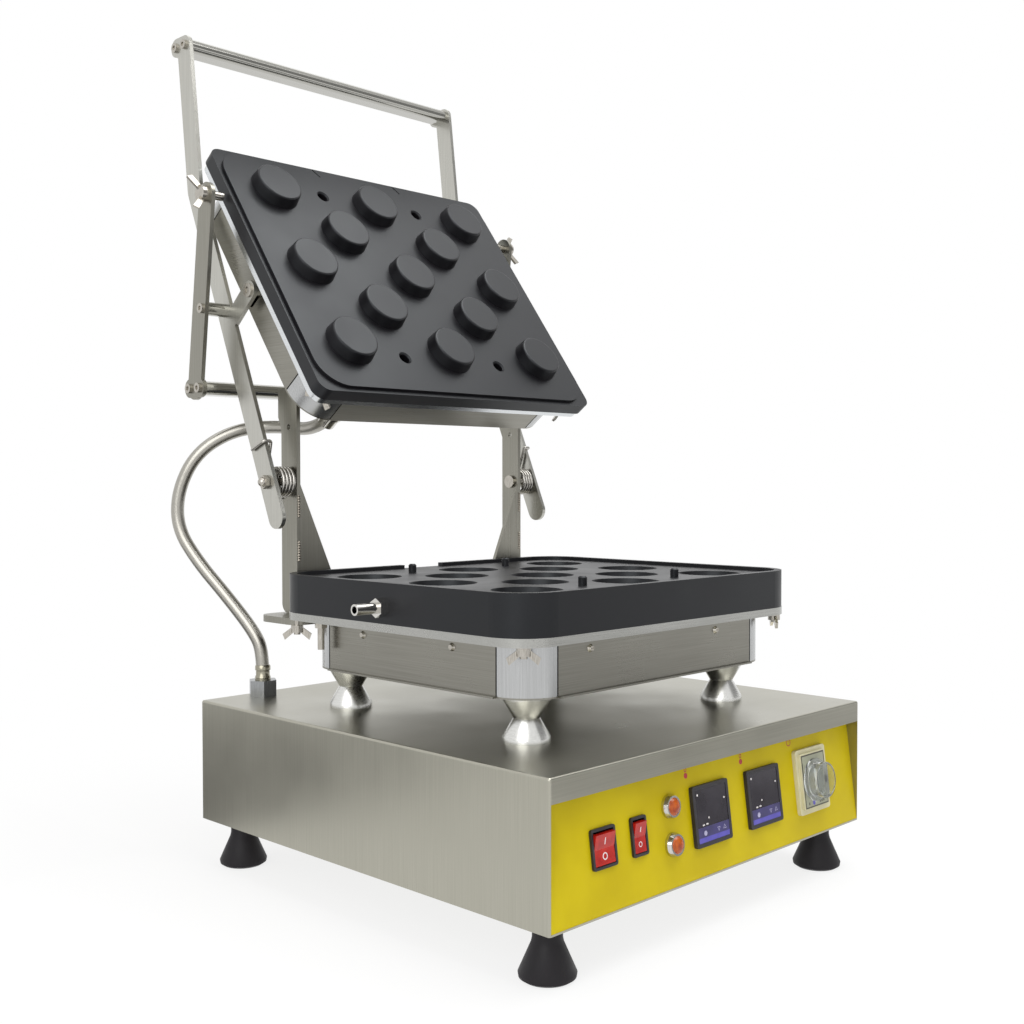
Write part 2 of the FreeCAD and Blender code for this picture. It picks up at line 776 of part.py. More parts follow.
# Inside the base
shelf_floor = base_floor + base_sheet
tx, ty = terminal_place
save("terminal_block", box(tx - terminal_size[0] / 2, tx + terminal_size[0] / 2, ty - terminal_size[1] / 2,
                           ty + terminal_size[1] / 2, shelf_floor, shelf_floor + terminal_size[2]))
save("heater_relays", *[box(x - relay_size[0] / 2, x + relay_size[0] / 2, relay_y - relay_size[1] / 2,
                            relay_y + relay_size[1] / 2, shelf_floor, shelf_floor + relay_size[2])
                        for x in relay_places])
bx, by = buzzer_place
save("timer_buzzer", rod_z(bx, by, shelf_floor, shelf_floor + buzzer_height, buzzer_radius))
gland_thread = rod(V(inlet_x, half_d - base_sheet, inlet_z), V(inlet_x, half_d, inlet_z),
                   inlet_thread_radius)
gland_hex = hexagon(V(inlet_x, half_d, inlet_z), V(0, 1, 0), inlet_hex, inlet_collar)
gland_dome = Part.makeCone(inlet_hex / 2 - 1, inlet_dome_radius, inlet_dome,
                           V(inlet_x, half_d + inlet_collar, inlet_z), V(0, 1, 0))
gland_way = rod(V(inlet_x, half_d - base_sheet - 1, inlet_z),
                V(inlet_x, half_d + inlet_collar + inlet_dome + 1, inlet_z), inlet_bore)
save("power_inlet_gland", joined([gland_thread, gland_hex, gland_dome]).cut(gland_way))

# Lower heater
standoff_profile = [(0, base_top), (standoff_end_radius, base_top),
                    (standoff_end_radius, base_top + standoff_land),
                    (standoff_waist_radius, base_top + standoff_height / 2),
                    (standoff_end_radius, skirt_floor - standoff_land),
                    (standoff_end_radius, skirt_floor), (0, skirt_floor)]
save("standoffs", *[turned(standoff_profile, x, y) for x, y in standoff_places])
flange_x = cover_half_x - cover_corner
flange_y = cover_half_y - cover_corner
flange_top = skirt_floor + cover_sheet
flanges = [box(-flange_x, flange_x, heater_y + s * cover_half_y - lower_flange,
               heater_y + s * cover_half_y + lower_flange, skirt_floor, flange_top) for s in (-1, 1)]
flanges += [box(s * cover_half_x - lower_flange, s * cover_half_x + lower_flange,
                heater_y - flange_y, heater_y + flange_y, skirt_floor, flange_top) for s in (-1, 1)]
lower_cover = joined([heater_cover(heater_y, skirt_floor, plate_floor, True)] + flanges)
screw_z = plate_floor - cover_screw_edge
rear_screw_z = plate_floor - mount_bar_thick - 2 * cover_screw_radius
side_screws = [(s * cover_half_x, heater_y + y, screw_z, V(s, 0, 0)) for s in (-1, 1) for y in lower_screw_y]
side_screws += [(x, heater_y - cover_half_y, screw_z, V(0, -1, 0)) for x in lower_screw_x]
side_screws += [(x, heater_y + cover_half_y, rear_screw_z, V(0, 1, 0)) for x in lower_screw_x]


def cover_screws(places):
    screws = []
    for x, y, z, way in places:
        start = V(x, y, z)
        tip = start.sub(V(way).multiply(cover_sheet))
        head = Part.makeCone(cover_screw_radius, cover_screw_radius * 0.6, cover_screw_head, start, way)
        slot_across = V(-way.y, way.x, 0)
        top = start.add(V(way).multiply(cover_screw_head))
        half_slot = cover_screw_radius / 2
        runs = [V(run).multiply(half_slot) for run in (slot_across, V(0, 0, 1))]
        slots = [rod(top.sub(run), top.add(run), cover_screw_slot) for run in runs]
        screws.append(joined([cut(head, slots), rod(tip, start, cover_screw_shank)]))
    return screws


def screw_holes(places):
    return [rod(V(x, y, z).sub(V(way).multiply(3 * cover_sheet)), V(x, y, z).add(way), cover_screw_shank)
            for x, y, z, way in places]


save("lower_heater_cover", cut(lower_cover, screw_holes(side_screws)))
save("lower_cover_screws", *cover_screws(side_screws))
save("lower_corner_blocks", *corner_blocks(heater_y, skirt_floor + cover_sheet, plate_floor))


def element_points(centre_y, z):
    x, y, end = element_half_x, element_half_y, element_end_x
    return [V(-end, centre_y + y, z), V(-x, centre_y + y, z), V(-x, centre_y - y, z), V(x, centre_y - y, z),
            V(x, centre_y + y, z), V(end, centre_y + y, z)]


def element(centre_y, z):
    points = element_points(centre_y, z)
    edges, at = [], points[0]
    for before, corner, after in zip(points, points[1:], points[2:]):
        start = corner.add(before.sub(corner).normalize().multiply(element_bend))
        end = corner.add(after.sub(corner).normalize().multiply(element_bend))
        middle = corner.add(start.sub(corner).add(end.sub(corner)).multiply(1 - math.sqrt(0.5)))
        edges += [Part.makeLine(at, start), Part.Arc(start, middle, end).toShape()]
        at = end
    edges.append(Part.makeLine(at, points[-1]))
    return tube(edges, element_radius)


save("lower_heating_element", element(heater_y, plate_floor - element_radius - element_gap))
lower_studs = corners(corner_stud_x, corner_stud_y, mould_y)
plate_half_x = mould_half_x - heater_plate_inset
plate_half_y = mould_half_y - heater_plate_inset
lower_plate = rounded_box(-plate_half_x, plate_half_x, mould_y - plate_half_y, mould_y + plate_half_y,
                          plate_floor, mould_floor, heater_plate_radius)


def stud_holes(z0, z1, gap, places):
    return [rod_z(x, y, z0, z1, stud_radius + gap) for x, y in places]


earth_hole = stud_holes(plate_floor, mould_floor, 0, [(earth_stud_x, earth_stud_y)])
save("lower_heater_plate", cut(lower_plate, stud_holes(plate_floor, mould_floor, stud_hole_gap, lower_studs)
                               + earth_hole))
bar_floor = plate_floor - mount_bar_thick
mount_bar = rounded_box(-mount_bar_half_x, mount_bar_half_x, mount_bar_front, mount_bar_rear,
                        bar_floor, plate_floor, mount_bar_corner)
save("rear_mount_bar", cut(mount_bar, stud_holes(bar_floor, plate_floor, stud_hole_gap, lower_studs)))
nut_faces = [(x, y, bar_floor if mount_bar_front < y < mount_bar_rear else plate_floor)
             for x, y in lower_studs]
save("lower_studs", *[rod_z(x, y, z - stud_tail, mould_floor + stud_grip, stud_radius)
                      for x, y, z in nut_faces])
lower_turns = [45 if x < 0 else corner_turn(x, y - mould_y) for x, y, z in nut_faces]
save("lower_wing_nuts", *[wing_nut(x, y, z, turn, False) for (x, y, z), turn in zip(nut_faces, lower_turns)])
earth_foot = V(earth_stud_x, earth_stud_y, plate_floor)
earth_pin = rod_z(earth_stud_x, earth_stud_y, plate_floor - earth_stud_tail, mould_floor, stud_radius)
earth_nut = hexagon(earth_foot.sub(V(0, 0, nut_height)), V(0, 0, 1), nut_across, nut_height)
save("earth_stud", joined([earth_pin, earth_nut]))

# Lower mould
mould = rounded_box(-mould_half_x, mould_half_x, mould_y - mould_half_y, mould_y + mould_half_y,
                    mould_floor, rim_top, mould_radius)
rim_x, rim_y = mould_half_x - rim_width, mould_half_y - rim_width
tray = rounded_box(-rim_x, rim_x, mould_y - rim_y, mould_y + rim_y, cup_rim, rim_top,
                   mould_radius - rim_width)
rim_gap = box(rim_gap_x[0], rim_gap_x[1], mould_y + rim_y - 1, mould_y + mould_half_y, cup_rim, rim_top)


def cup(x, y):
    bowl = Part.makeCone(cup_floor_radius, cup_radius, cup_depth, V(x, y, cup_rim - cup_depth))
    floor_edge = [e for e in bowl.Edges if abs(e.CenterOfMass.z - (cup_rim - cup_depth)) < 1e-6]
    return bowl.makeFillet(cup_corner, floor_edge)


dowels = corners(dowel_x, dowel_y, mould_y)
dowel_sockets = [rod_z(x, y, cup_rim - dowel_below, cup_rim, dowel_radius) for x, y in dowels]
fitting_z = rim_top - fitting_z_below_rim
cups = [cup(x, y) for x, y in grid_places(mould_y)]
blind_holes = stud_holes(mould_floor, mould_floor + stud_grip, 0, lower_studs)
save("lower_mould", cut(mould, [tray, rim_gap] + cups + dowel_sockets + blind_holes))
pins = []
dowel_top = cup_rim + dowel_above
for x, y in dowels:
    pin = rod_z(x, y, cup_rim - dowel_below, dowel_top, dowel_radius)
    top_edge = [e for e in pin.Edges if abs(e.CenterOfMass.z - dowel_top) < 1e-6]
    pins.append(pin.makeChamfer(dowel_bevel, top_edge))
save("dowel_pins", *pins)
fitting_tip = -mould_half_x - fitting_length
fitting_nut = hexagon(V(-mould_half_x, fitting_y, fitting_z), V(-1, 0, 0), fitting_hex, fitting_hex_length)
fitting_stem = rod_x(-mould_half_x, fitting_tip, fitting_y, fitting_z, fitting_radius)
fitting_way = rod_x(-mould_half_x - fitting_hex_length, fitting_tip, fitting_y, fitting_z, fitting_bore)
save("mould_side_fitting", joined([fitting_nut, fitting_stem]).cut(fitting_way))

# Posts with their gussets
post_x0 = -post_outer_x
post_x1 = post_x0 + post_thick
post_outline = [(post_front, plate_floor), (post_rear, plate_floor),
                (post_rear, post_flare_z - post_flare_run), (post_rear + post_flare, post_flare_z),
                (post_rear + post_flare, post_top), (post_front, post_top)]
bar = prism([V(post_x0, y, z) for y, z in post_outline], V(post_thick, 0, 0))
foot_edge = [e for e in edges_along(bar, V(1, 0, 0))
             if abs(e.CenterOfMass.y - post_rear) < 1e-6 and abs(e.CenterOfMass.z - plate_floor) < 1e-6]
bar = bar.makeFillet(post_foot_radius, foot_edge)
gusset = prism([V(post_x1, post_front, plate_floor), V(post_x1 + gusset_width, post_front, plate_floor),
                V(post_x1, post_front, gusset_top)], V(0, gusset_thick, 0))
pin_hole = rod_x(post_x0 - 1, post_x1 + 1, pivot_y, pivot_z, pivot_pin_radius)
spare_hole = rod_x(post_x0 - 1, post_x1 + 1, post_hole_y, post_hole_z, post_hole_radius)
post = cut(joined([bar, gusset]), [pin_hole, spare_hole])
for name, shape in zip(("left_post", "right_post"), both_sides(post)):
    save(name, shape)

# Lever frame
lean, arm_turn = math.radians(lever_lean), math.radians(arm_lean)
lever_x0, lever_x1 = -lever_inner_x - lever_thick, -lever_inner_x


def on_lever(distance):
    return (pivot_y + distance * math.sin(lean), pivot_z + distance * math.cos(lean))


bend = on_lever(lever_bend)
arm_top = (bend[0] + arm_length * math.sin(arm_turn), bend[1] + arm_length * math.cos(arm_turn))
grip_y, grip_z = arm_top[0] + grip_back, arm_top[1] + grip_rise
lobe_depth = oval_depth + 2 * oval_lobe_rim
lobe_height = oval_height + 2 * oval_lobe_rim
lever = joined([strip(on_lever(-lever_tail), bend, lever_width, lever_x0, lever_x1),
                strip(bend, arm_top, lever_width, lever_x0, lever_x1),
                strip((head_pivot.y, head_pivot.z), on_lever(ear_root), 2 * ear_radius, lever_x0, lever_x1),
                stadium(grip_y, grip_z, lobe_depth, lobe_height, lever_x0, lever_x1)])
screw_places = [(grip_y + s * oval_screw_offset, grip_z) for s in (-1, 1)]
lever_tools = [rod_x(lever_x0 - 1, lever_x1 + 1, pivot_y, pivot_z, pivot_pin_radius + running_gap),
               rod_x(lever_x0 - 1, lever_x1 + 1, head_pivot.y, head_pivot.z, pivot_bolt_radius)]
lever_tools += [rod_x(lever_x0 - 1, lever_x1 + 1, y, z, frame_screw_radius) for y, z in screw_places]
for name, shape in zip(("left_lever", "right_lever"), both_sides(cut(lever, lever_tools))):
    save(name, shape)


def oval_bar(y, z, half_length):
    bar = stadium(y, z, oval_depth, oval_height, -half_length, half_length)
    holes = []
    for s in (-1, 1):
        hole = rod_x(-half_length, -half_length + frame_screw_depth, y + s * oval_screw_offset, z,
                     frame_screw_radius)
        holes += both_sides(hole)
    return cut(bar, holes)


save("grip_bar", oval_bar(grip_y, grip_z, lever_inner_x))
save("rear_cross_bar", oval_bar(stay_foot_y, stay_foot_z, stay_inner_x))
stay_x0, stay_x1 = -stay_inner_x - stay_thick, -stay_inner_x
stay_places = [(stay_foot_y + s * oval_screw_offset, stay_foot_z) for s in (-1, 1)]
stay = joined([strip((stay_foot_y, stay_foot_z), (stay_head_y, stay_head_z), stay_width, stay_x0, stay_x1),
               stadium(stay_foot_y, stay_foot_z, lobe_depth, lobe_height, stay_x0, stay_x1)])
clamp_y, clamp_z = stay_head_y, stay_head_z
stay_tools = [rod_x(stay_x0 - 1, stay_x1 + 1, y, z, frame_screw_radius)
              for y, z in stay_places + [(spacer_y, spacer_z)]]
stay = cut(stay, stay_tools + [rod_x(stay_x0 - 1, stay_x1 + 1, clamp_y, clamp_z, clamp_radius)])
save("outer_stays", *both_sides(stay))
spacer = rod_x(stay_x1, lever_x0, spacer_y, spacer_z, spacer_radius)
spacer = spacer.cut(rod_x(stay_x1, stay_x1 + frame_screw_depth - stay_thick, spacer_y, spacer_z,
                          frame_screw_radius))
save("stay_spacers", *both_sides(spacer))
frame_screws = []
for x_face, places in ((lever_x0, screw_places), (stay_x0, stay_places + [(spacer_y, spacer_z)])):
    for y, z in places:
        frame_screws += both_sides(frame_screw(x_face, y, z))
clamp = wing_body(clamp_hub_radius, clamp_reach, clamp_rise)
clamp = joined([clamp, rod_z(0, 0, -stay_thick - clamp_inside, 0, clamp_radius)])
clamp_way = FreeCAD.Rotation(V(0, 0, 1), 90).multiply(FreeCAD.Rotation(V(1, 0, 0), -90))
clamp.Placement = FreeCAD.Placement(V(stay_x0, clamp_y, clamp_z),
                                    clamp_way.multiply(FreeCAD.Rotation(V(0, 0, 1), clamp_turn)))
save("frame_screws", *frame_screws + both_sides(clamp))

# Lever pivot pins, fixed in the posts
pin_tip = lever_x0 - shaft_side_gap
pin = rod_x(post_x1, pin_tip, pivot_y, pivot_z, pivot_pin_radius)
pin_head = rod_x(post_x1, post_x1 + pivot_head_height, pivot_y, pivot_z, pivot_pin_radius + pivot_head_rim)
pin_nut = hexagon(V(pin_tip, pivot_y, pivot_z), V(-1, 0, 0), pivot_nut_across, pivot_nut_height)
cap_radius = pivot_nut_across / 2 - pivot_nut_land
cap_foot = pin_tip - pivot_nut_height
pin_cap = Part.makeSphere(cap_radius, V(cap_foot, pivot_y, pivot_z))
pin_cap = pin_cap.common(rod_x(cap_foot - cap_radius, cap_foot, pivot_y, pivot_z, pivot_nut_across))
save("lever_pivot_pins", *both_sides(joined([pin, pin_head, pin_nut, pin_cap])))

# Torsion springs
coil_radius = lever_width / 2 + spring_wire_radius + spring_clear
coil_slope = spring_pitch / (2 * math.pi * coil_radius)
coil_start_x = post_x0 - spring_wire_radius - spring_clear - spring_post_leg * coil_slope
lead = math.radians(spring_lead)
coil_turn = 2 * math.pi * spring_turns + lead - lean
spring_lever_leg = coil_radius * (1 + math.cos(lead)) / math.sin(lead)
coil_rise = -spring_pitch * coil_turn / (2 * math.pi)


def coil_point(share):
    angle = coil_turn * share
    place = V(coil_start_x + coil_rise * share, pivot_y + coil_radius * math.cos(angle),
              pivot_z + coil_radius * math.sin(angle))
    return place, V(-coil_slope, -math.sin(angle), math.cos(angle)).normalize()


quarters = 4 * spring_turns + 1
coil_edges = []
for k in range(quarters):
    coil_edges += biarc(*coil_point(k / quarters), *coil_point((k + 1) / quarters))
coil_foot, foot_way = coil_point(0)
coil_head, head_way = coil_point(1)
leg_end = coil_head.add(V(head_way).multiply(spring_lever_leg))
hook_x = lever_x0 - spring_wire_radius - spring_clear
hook_corner = V(hook_x, leg_end.y, leg_end.z)
across_lever = V(0, math.cos(lean), -math.sin(lean))
hook_end = hook_corner.add(V(across_lever).multiply(spring_hook))


def bent(before, corner, after, radius):
    back, ahead = before.sub(corner).normalize(), after.sub(corner).normalize()
    half_turn = (math.pi - back.getAngle(ahead)) / 2
    reach = radius * math.tan(half_turn)
    start, end = corner.add(V(back).multiply(reach)), corner.add(V(ahead).multiply(reach))
    toward = V(back).add(ahead).normalize()
    middle = corner.add(toward.multiply(radius / math.cos(half_turn) - radius))
    return start, Part.Arc(start, middle, end).toShape(), end


first_start, first_arc, first_end = bent(coil_head, leg_end, hook_corner, spring_bend)
second_start, second_arc, second_end = bent(leg_end, hook_corner, hook_end, spring_bend)
spring_edges = [Part.makeLine(coil_foot.sub(V(foot_way).multiply(spring_post_leg)), coil_foot)] + coil_edges
spring_edges += [Part.makeLine(coil_head, first_start), first_arc, Part.makeLine(first_end, second_start),
                 second_arc, Part.makeLine(second_end, hook_end)]
spring = tube(spring_edges, spring_wire_radius)
marks = [e.valueAt(e.FirstParameter + (e.LastParameter - e.FirstParameter) * k / 12)
         for e in coil_edges for k in range(12)]
per_turn = len(marks) * 2 * math.pi / coil_turn
least = min(marks[i].sub(marks[j]).Length for i in range(len(marks))
            for j in range(i + int(per_turn / 2), len(marks)))
print("spring least gap to itself %.2f" % (least - 2 * spring_wire_radius))
save("torsion_springs", *both_sides(spring))

# Closing: the lever swings the head level over the mould, then the head drops onto it
rest_angle = math.atan2(head_pivot.z - pivot_z, head_pivot.y - pivot_y)
fold_turn = math.degrees(math.atan2(-closed_drop, closed_y) - rest_angle) % 360
level_turn = head_tilt - fold_turn
hover_face = pivot_z - closed_drop - head_pivot_z
seated_face = rim_top + seat_gap - plateau_height
seat_drop = hover_face - seated_face

# Head pivot shaft and the bolts that carry it in the levers
shaft_half = lever_inner_x - shaft_side_gap
shaft = rod_x(-shaft_half, shaft_half, head_pivot_y, head_pivot_z, shaft_radius)
bore_end = -shaft_half + pivot_bolt_depth + pivot_bolt_end_gap
bolt_bore = rod_x(-shaft_half, bore_end, head_pivot_y, head_pivot_z, pivot_bolt_radius + running_gap)
save("head_pivot_shaft", on_head(cut(shaft, both_sides(bolt_bore))))
bolt_head = rod_x(lever_x0 - pivot_bolt_head, lever_x0, head_pivot.y, head_pivot.z, pivot_bolt_head_radius)
bolt_shank = rod_x(lever_x0, -shaft_half + pivot_bolt_depth, head_pivot.y, head_pivot.z, pivot_bolt_radius)
bolt = joined([bolt_head, bolt_shank])
bolt = bolt.cut(hexagon(V(lever_x0 - pivot_bolt_head, head_pivot.y, head_pivot.z), V(1, 0, 0),
                       pivot_bolt_socket, pivot_bolt_socket_depth))
save("head_pivot_bolts", *both_sides(bolt))

# Head: mould, plate, cover and what it holds
face_x, face_y = head_half_x - plateau_inset, head_half_y - plateau_inset
slab = rounded_box(-head_half_x, head_half_x, -head_half_y, head_half_y, plateau_height, head_mould_thick,
                   head_plate_radius)
plateau = rounded_box(-face_x, face_x, -face_y, face_y, 0, plateau_height, plateau_radius)


def plug(x, y):
    cone = Part.makeCone(plug_tip_radius, plug_radius, plug_height, V(x, y, -plug_height))
    tip_edge = [e for e in cone.Edges if abs(e.CenterOfMass.z + plug_height) < 1e-6]
    return cone.makeFillet(plug_corner, tip_edge)


head_studs = corners(head_stud_x, head_stud_y, 0)
dowel_holes = []
for x, y in corners(dowel_x, dowel_y, 0):
    dowel_holes.append(rod_z(x, y, 0, dowel_hole_depth, dowel_hole_radius))
    dowel_holes.append(Part.makeCone(dowel_ring_radius, dowel_hole_radius,
                                     dowel_ring_radius - dowel_hole_radius, V(x, y, 0)))
edge_marks = []
for x in mark_x:
    inner = -face_y + mark_reach
    outline = [V(x, -face_y, 0), V(x + mark_width, -face_y, 0), V(x + mark_skew + mark_width, inner, 0),
               V(x + mark_skew, inner, 0)]
    edge_marks.append(prism(outline, V(0, 0, mark_depth)))
upper_mould = joined([slab, plateau] + [plug(x, y) for x, y in grid_places(0)])
save("upper_mould", on_head(cut(upper_mould, dowel_holes + edge_marks
                                + stud_holes(head_plate_z - stud_grip, head_plate_z, 0, head_studs))))
upper_plate = rounded_box(-head_half_x + heater_plate_inset, head_half_x - heater_plate_inset,
                          -head_half_y + heater_plate_inset, head_half_y - heater_plate_inset,
                          head_plate_z, head_cover_z, head_plate_radius)
plate_holes = stud_holes(head_plate_z, head_cover_z, stud_hole_gap, head_studs)
save("upper_heater_plate", on_head(cut(upper_plate, plate_holes)))
slot_half = shaft_radius + slot_side_gap
slot = box(-cover_half_x - 5, cover_half_x + 5, head_pivot_y - slot_half, head_pivot_y + slot_half,
           head_pivot_z, head_pivot_z + seat_drop)
slot = joined([slot] + [rod_x(-cover_half_x - 5, cover_half_x + 5, head_pivot_y, z, slot_half)
                        for z in (head_pivot_z, head_pivot_z + seat_drop)])
gland_bore = hose_radius + gland_bore_gap
gland_outer = gland_bore + gland_wall
gland_hole = rod_z(gland_x, gland_y, head_back_z - 5, head_back_z + 5, gland_outer)
head_screw_z = head_cover_z + cover_screw_edge
head_side_screws = [(s * cover_half_x, y, head_screw_z, V(s, 0, 0)) for s in (-1, 1) for y in upper_screw_y]
head_side_screws += [(x, s * cover_half_y, head_screw_z, V(0, s, 0)) for s in (-1, 1) for x in upper_screw_x]
upper_cover = heater_cover(0, head_cover_z, head_back_z, False)
save("upper_heater_cover", on_head(cut(upper_cover, [slot, gland_hole] + screw_holes(head_side_screws))))
save("upper_cover_screws", *[on_head(s) for s in cover_screws(head_side_screws)])
upper_blocks = corner_blocks(0, head_cover_z, head_back_z - cover_sheet)
save("upper_corner_blocks", *[on_head(block) for block in upper_blocks])
guide_x1 = cover_half_x - cover_sheet
guide = box(-guide_x1, -guide_x1 + guide_thick, head_pivot_y - guide_half_y, head_pivot_y + guide_half_y,
            head_cover_z, head_back_z - cover_sheet).cut(slot)
save("head_guides", *[on_head(g) for g in both_sides(guide)])
save("upper_heating_element", on_head(element(0, head_cover_z + element_radius + element_gap)))
save("upper_studs", *[on_head(rod_z(x, y, head_plate_z - stud_grip, head_cover_z + stud_tail, stud_radius))
                      for x, y in head_studs])
save("upper_wing_nuts", *[on_head(wing_nut(x, y, head_cover_z, corner_turn(x, y), True)) for x, y in head_studs])
gland_sleeve = rod_z(gland_x, gland_y, head_back_z - cover_sheet, head_back_z + gland_length, gland_outer)
gland_collar_ring = rod_z(gland_x, gland_y, head_back_z, head_back_z + gland_collar, gland_collar_radius)
gland_way = rod_z(gland_x, gland_y, head_back_z - 5, head_back_z + gland_length + 1, gland_bore)
save("conduit_head_gland", on_head(joined([gland_sleeve, gland_collar_ring]).cut(gland_way)))

# Conduit: nut and ferrule on the base, then the hose in two lengths that meet behind the post
nut_top = base_top + conduit_hex_height
hose_foot = nut_top + ferrule_height - hose_insert
ferrule_top = nut_top + ferrule_height
conduit_nut = hexagon(V(conduit_x, conduit_y, base_top), V(0, 0, 1), conduit_hex, conduit_hex_height)
conduit_thread = rod_z(conduit_x, conduit_y, base_top - base_sheet, base_top, hose_radius)
save("conduit_base_nut", joined([conduit_nut, conduit_thread]))
ferrule = rod_z(conduit_x, conduit_y, nut_top, ferrule_top, ferrule_radius)
save("conduit_ferrule", ferrule.cut(rod_z(conduit_x, conduit_y, hose_foot, ferrule_top, hose_radius)))
hose_exit = head_point(gland_x, gland_y, head_back_z)
hose_way = head_point(gland_x, gland_y, head_back_z + 1).sub(hose_exit)
hose_top = hose_exit.sub(V(hose_way).multiply(hose_head_tail))
hose_knee = hose_exit.add(V(hose_way).multiply(hose_head_run))
by_post = [V(post_x0 + x, post_rear + y, pivot_z + z) for x, y, z in hose_by_post]
by_base = [V(conduit_x + x, conduit_y + y, base_top + z) for x, y, z in hose_by_base]
hose_meeting = by_post[0]
hose_start = hose_meeting.add(by_post[1].sub(hose_meeting).normalize().multiply(hose_joint_gap))
hose_end = V(conduit_x, conduit_y, hose_foot)
save("conduit_hose_upper", hose([hose_top, hose_knee, hose_meeting], "conduit_hose_upper"))
save("conduit_hose_lower", hose([hose_start] + by_post[1:] + by_base + [hose_end], "conduit_hose_lower"))

# Centre the object's box on the origin, hose left out, and write the nodes
measured = FreeCAD.BoundBox()
for node, shape in nodes.items():
    if not node.startswith("conduit_hose"):
        measured.add(shape.BoundBox)
centring = V(-measured.Center.x, -measured.Center.y, -measured.ZMin)
os.makedirs("parts", exist_ok=True)
for node, shape in nodes.items():
    shape.translated(centring).exportStep("parts/%s.step" % node)
    valid = all(solid.isValid() for solid in shape.Solids)
    print("%-22s %d solid(s) %.0f mm3 %s"
          % (node, len(shape.Solids), shape.Volume, "" if valid else "not valid"))

# Joint places for whoever writes the record
up_panel = V(0, math.sin(panel_turn), math.cos(panel_turn))
into_panel = V(0, math.cos(panel_turn), -math.sin(panel_turn))
knob_seat = panel_foot.add(V(timer_u, 0, 0)).add(V(up_panel).multiply(timer_v))
rocker_seat = panel_foot.add(V(up_panel).multiply(control_row_v)).add(into_panel.multiply(rocker_pin_depth))
print("centring", centring)
print("lever fold %.4f deg, head levels %.4f deg, ratio %.6f, seat drop %.4f mm"
      % (fold_turn, level_turn, level_turn / fold_turn, seat_drop))
for joint, place in (("lever pivot", V(0, pivot_y, pivot_z)), ("head pivot", head_pivot),
                     ("timer knob", knob_seat), ("rockers", rocker_seat),
                     ("hose top", hose_top), ("hose knee", hose_knee)):
    print("%-12s %s" % (joint, place.add(centring)))
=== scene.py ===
import math

import bmesh
import bpy
from mathutils import Matrix, Vector
from mathutils.bvhtree import BVHTree


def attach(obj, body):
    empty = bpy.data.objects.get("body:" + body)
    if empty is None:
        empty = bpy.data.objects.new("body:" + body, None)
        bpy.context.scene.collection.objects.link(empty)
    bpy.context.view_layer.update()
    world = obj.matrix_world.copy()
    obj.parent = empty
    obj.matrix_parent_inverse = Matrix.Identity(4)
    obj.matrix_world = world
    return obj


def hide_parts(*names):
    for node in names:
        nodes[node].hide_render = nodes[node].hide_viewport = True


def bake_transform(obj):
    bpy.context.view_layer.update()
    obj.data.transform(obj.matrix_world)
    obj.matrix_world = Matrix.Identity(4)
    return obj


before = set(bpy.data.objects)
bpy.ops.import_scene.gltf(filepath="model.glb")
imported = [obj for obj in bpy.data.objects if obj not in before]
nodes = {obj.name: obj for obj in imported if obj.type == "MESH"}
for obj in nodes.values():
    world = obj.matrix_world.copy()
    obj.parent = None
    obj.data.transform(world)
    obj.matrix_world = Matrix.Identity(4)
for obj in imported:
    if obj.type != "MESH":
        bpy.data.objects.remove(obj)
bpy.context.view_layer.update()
mm = 0.001
print("frame loaded:", len(nodes), "nodes")


# Small tools

def linear(hexText):  # sRGB hex to a linear colour
    parts = [int(hexText[i:i + 2], 16) / 255 for i in (1, 3, 5)]
    return [c / 12.92 if c <= 0.04045 else ((c + 0.055) / 1.055) ** 2.4 for c in parts] + [1.0]


def add(tree, kind, inputs=None, stops=(), **settings):  # one node: settings, values, links, colour stops
    made = tree.nodes.new(kind)
    for name, value in settings.items():
        setattr(made, name, value)
    for name, value in (inputs or {}).items():
        socket = made.inputs[name]
        if isinstance(value, bpy.types.NodeSocket):
            tree.links.new(value, socket)
        else:
            socket.default_value = value
    if stops:
        elements = made.color_ramp.elements
        while len(elements) < len(stops):
            elements.new(0.5)
        for element, (place, colour) in zip(elements, stops):
            element.position = place
            element.color = linear(colour)
    return made


def newMaterial(name, **shaderInputs):
    material = bpy.data.materials.new(name)
    material.use_nodes = True
    tree = material.node_tree
    tree.nodes.clear()
    shader = add(tree, "ShaderNodeBsdfPrincipled", shaderInputs)
    add(tree, "ShaderNodeOutputMaterial", {"Surface": shader.outputs[0]})
    return material, tree, shader


def linkFinish(tree, shader, colour, rough, bump):  # the three things that every finish varies
    for socketName, made in (("Base Color", colour), ("Roughness", rough), ("Normal", bump)):
        tree.links.new(made.outputs[0], shader.inputs[socketName])


def meshPiece(name, bm, material, body, smooth=None):  # smooth in degrees
    mesh = bpy.data.meshes.new(name)
    bmesh.ops.recalc_face_normals(bm, faces=bm.faces)
    bm.to_mesh(mesh)
    bm.free()
    piece = bpy.data.objects.new(name, mesh)
    bpy.context.scene.collection.objects.link(piece)
    mesh.materials.append(material)
    if smooth is not None:
        mesh.shade_smooth()
        mesh.set_sharp_from_angle(angle=math.radians(smooth))
    if body:
        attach(piece, body)
    return piece


def anglesRound(count, start=0.0):
    return [start + 2 * math.pi * k / count for k in range(count)]


# Camera at the photograph's place

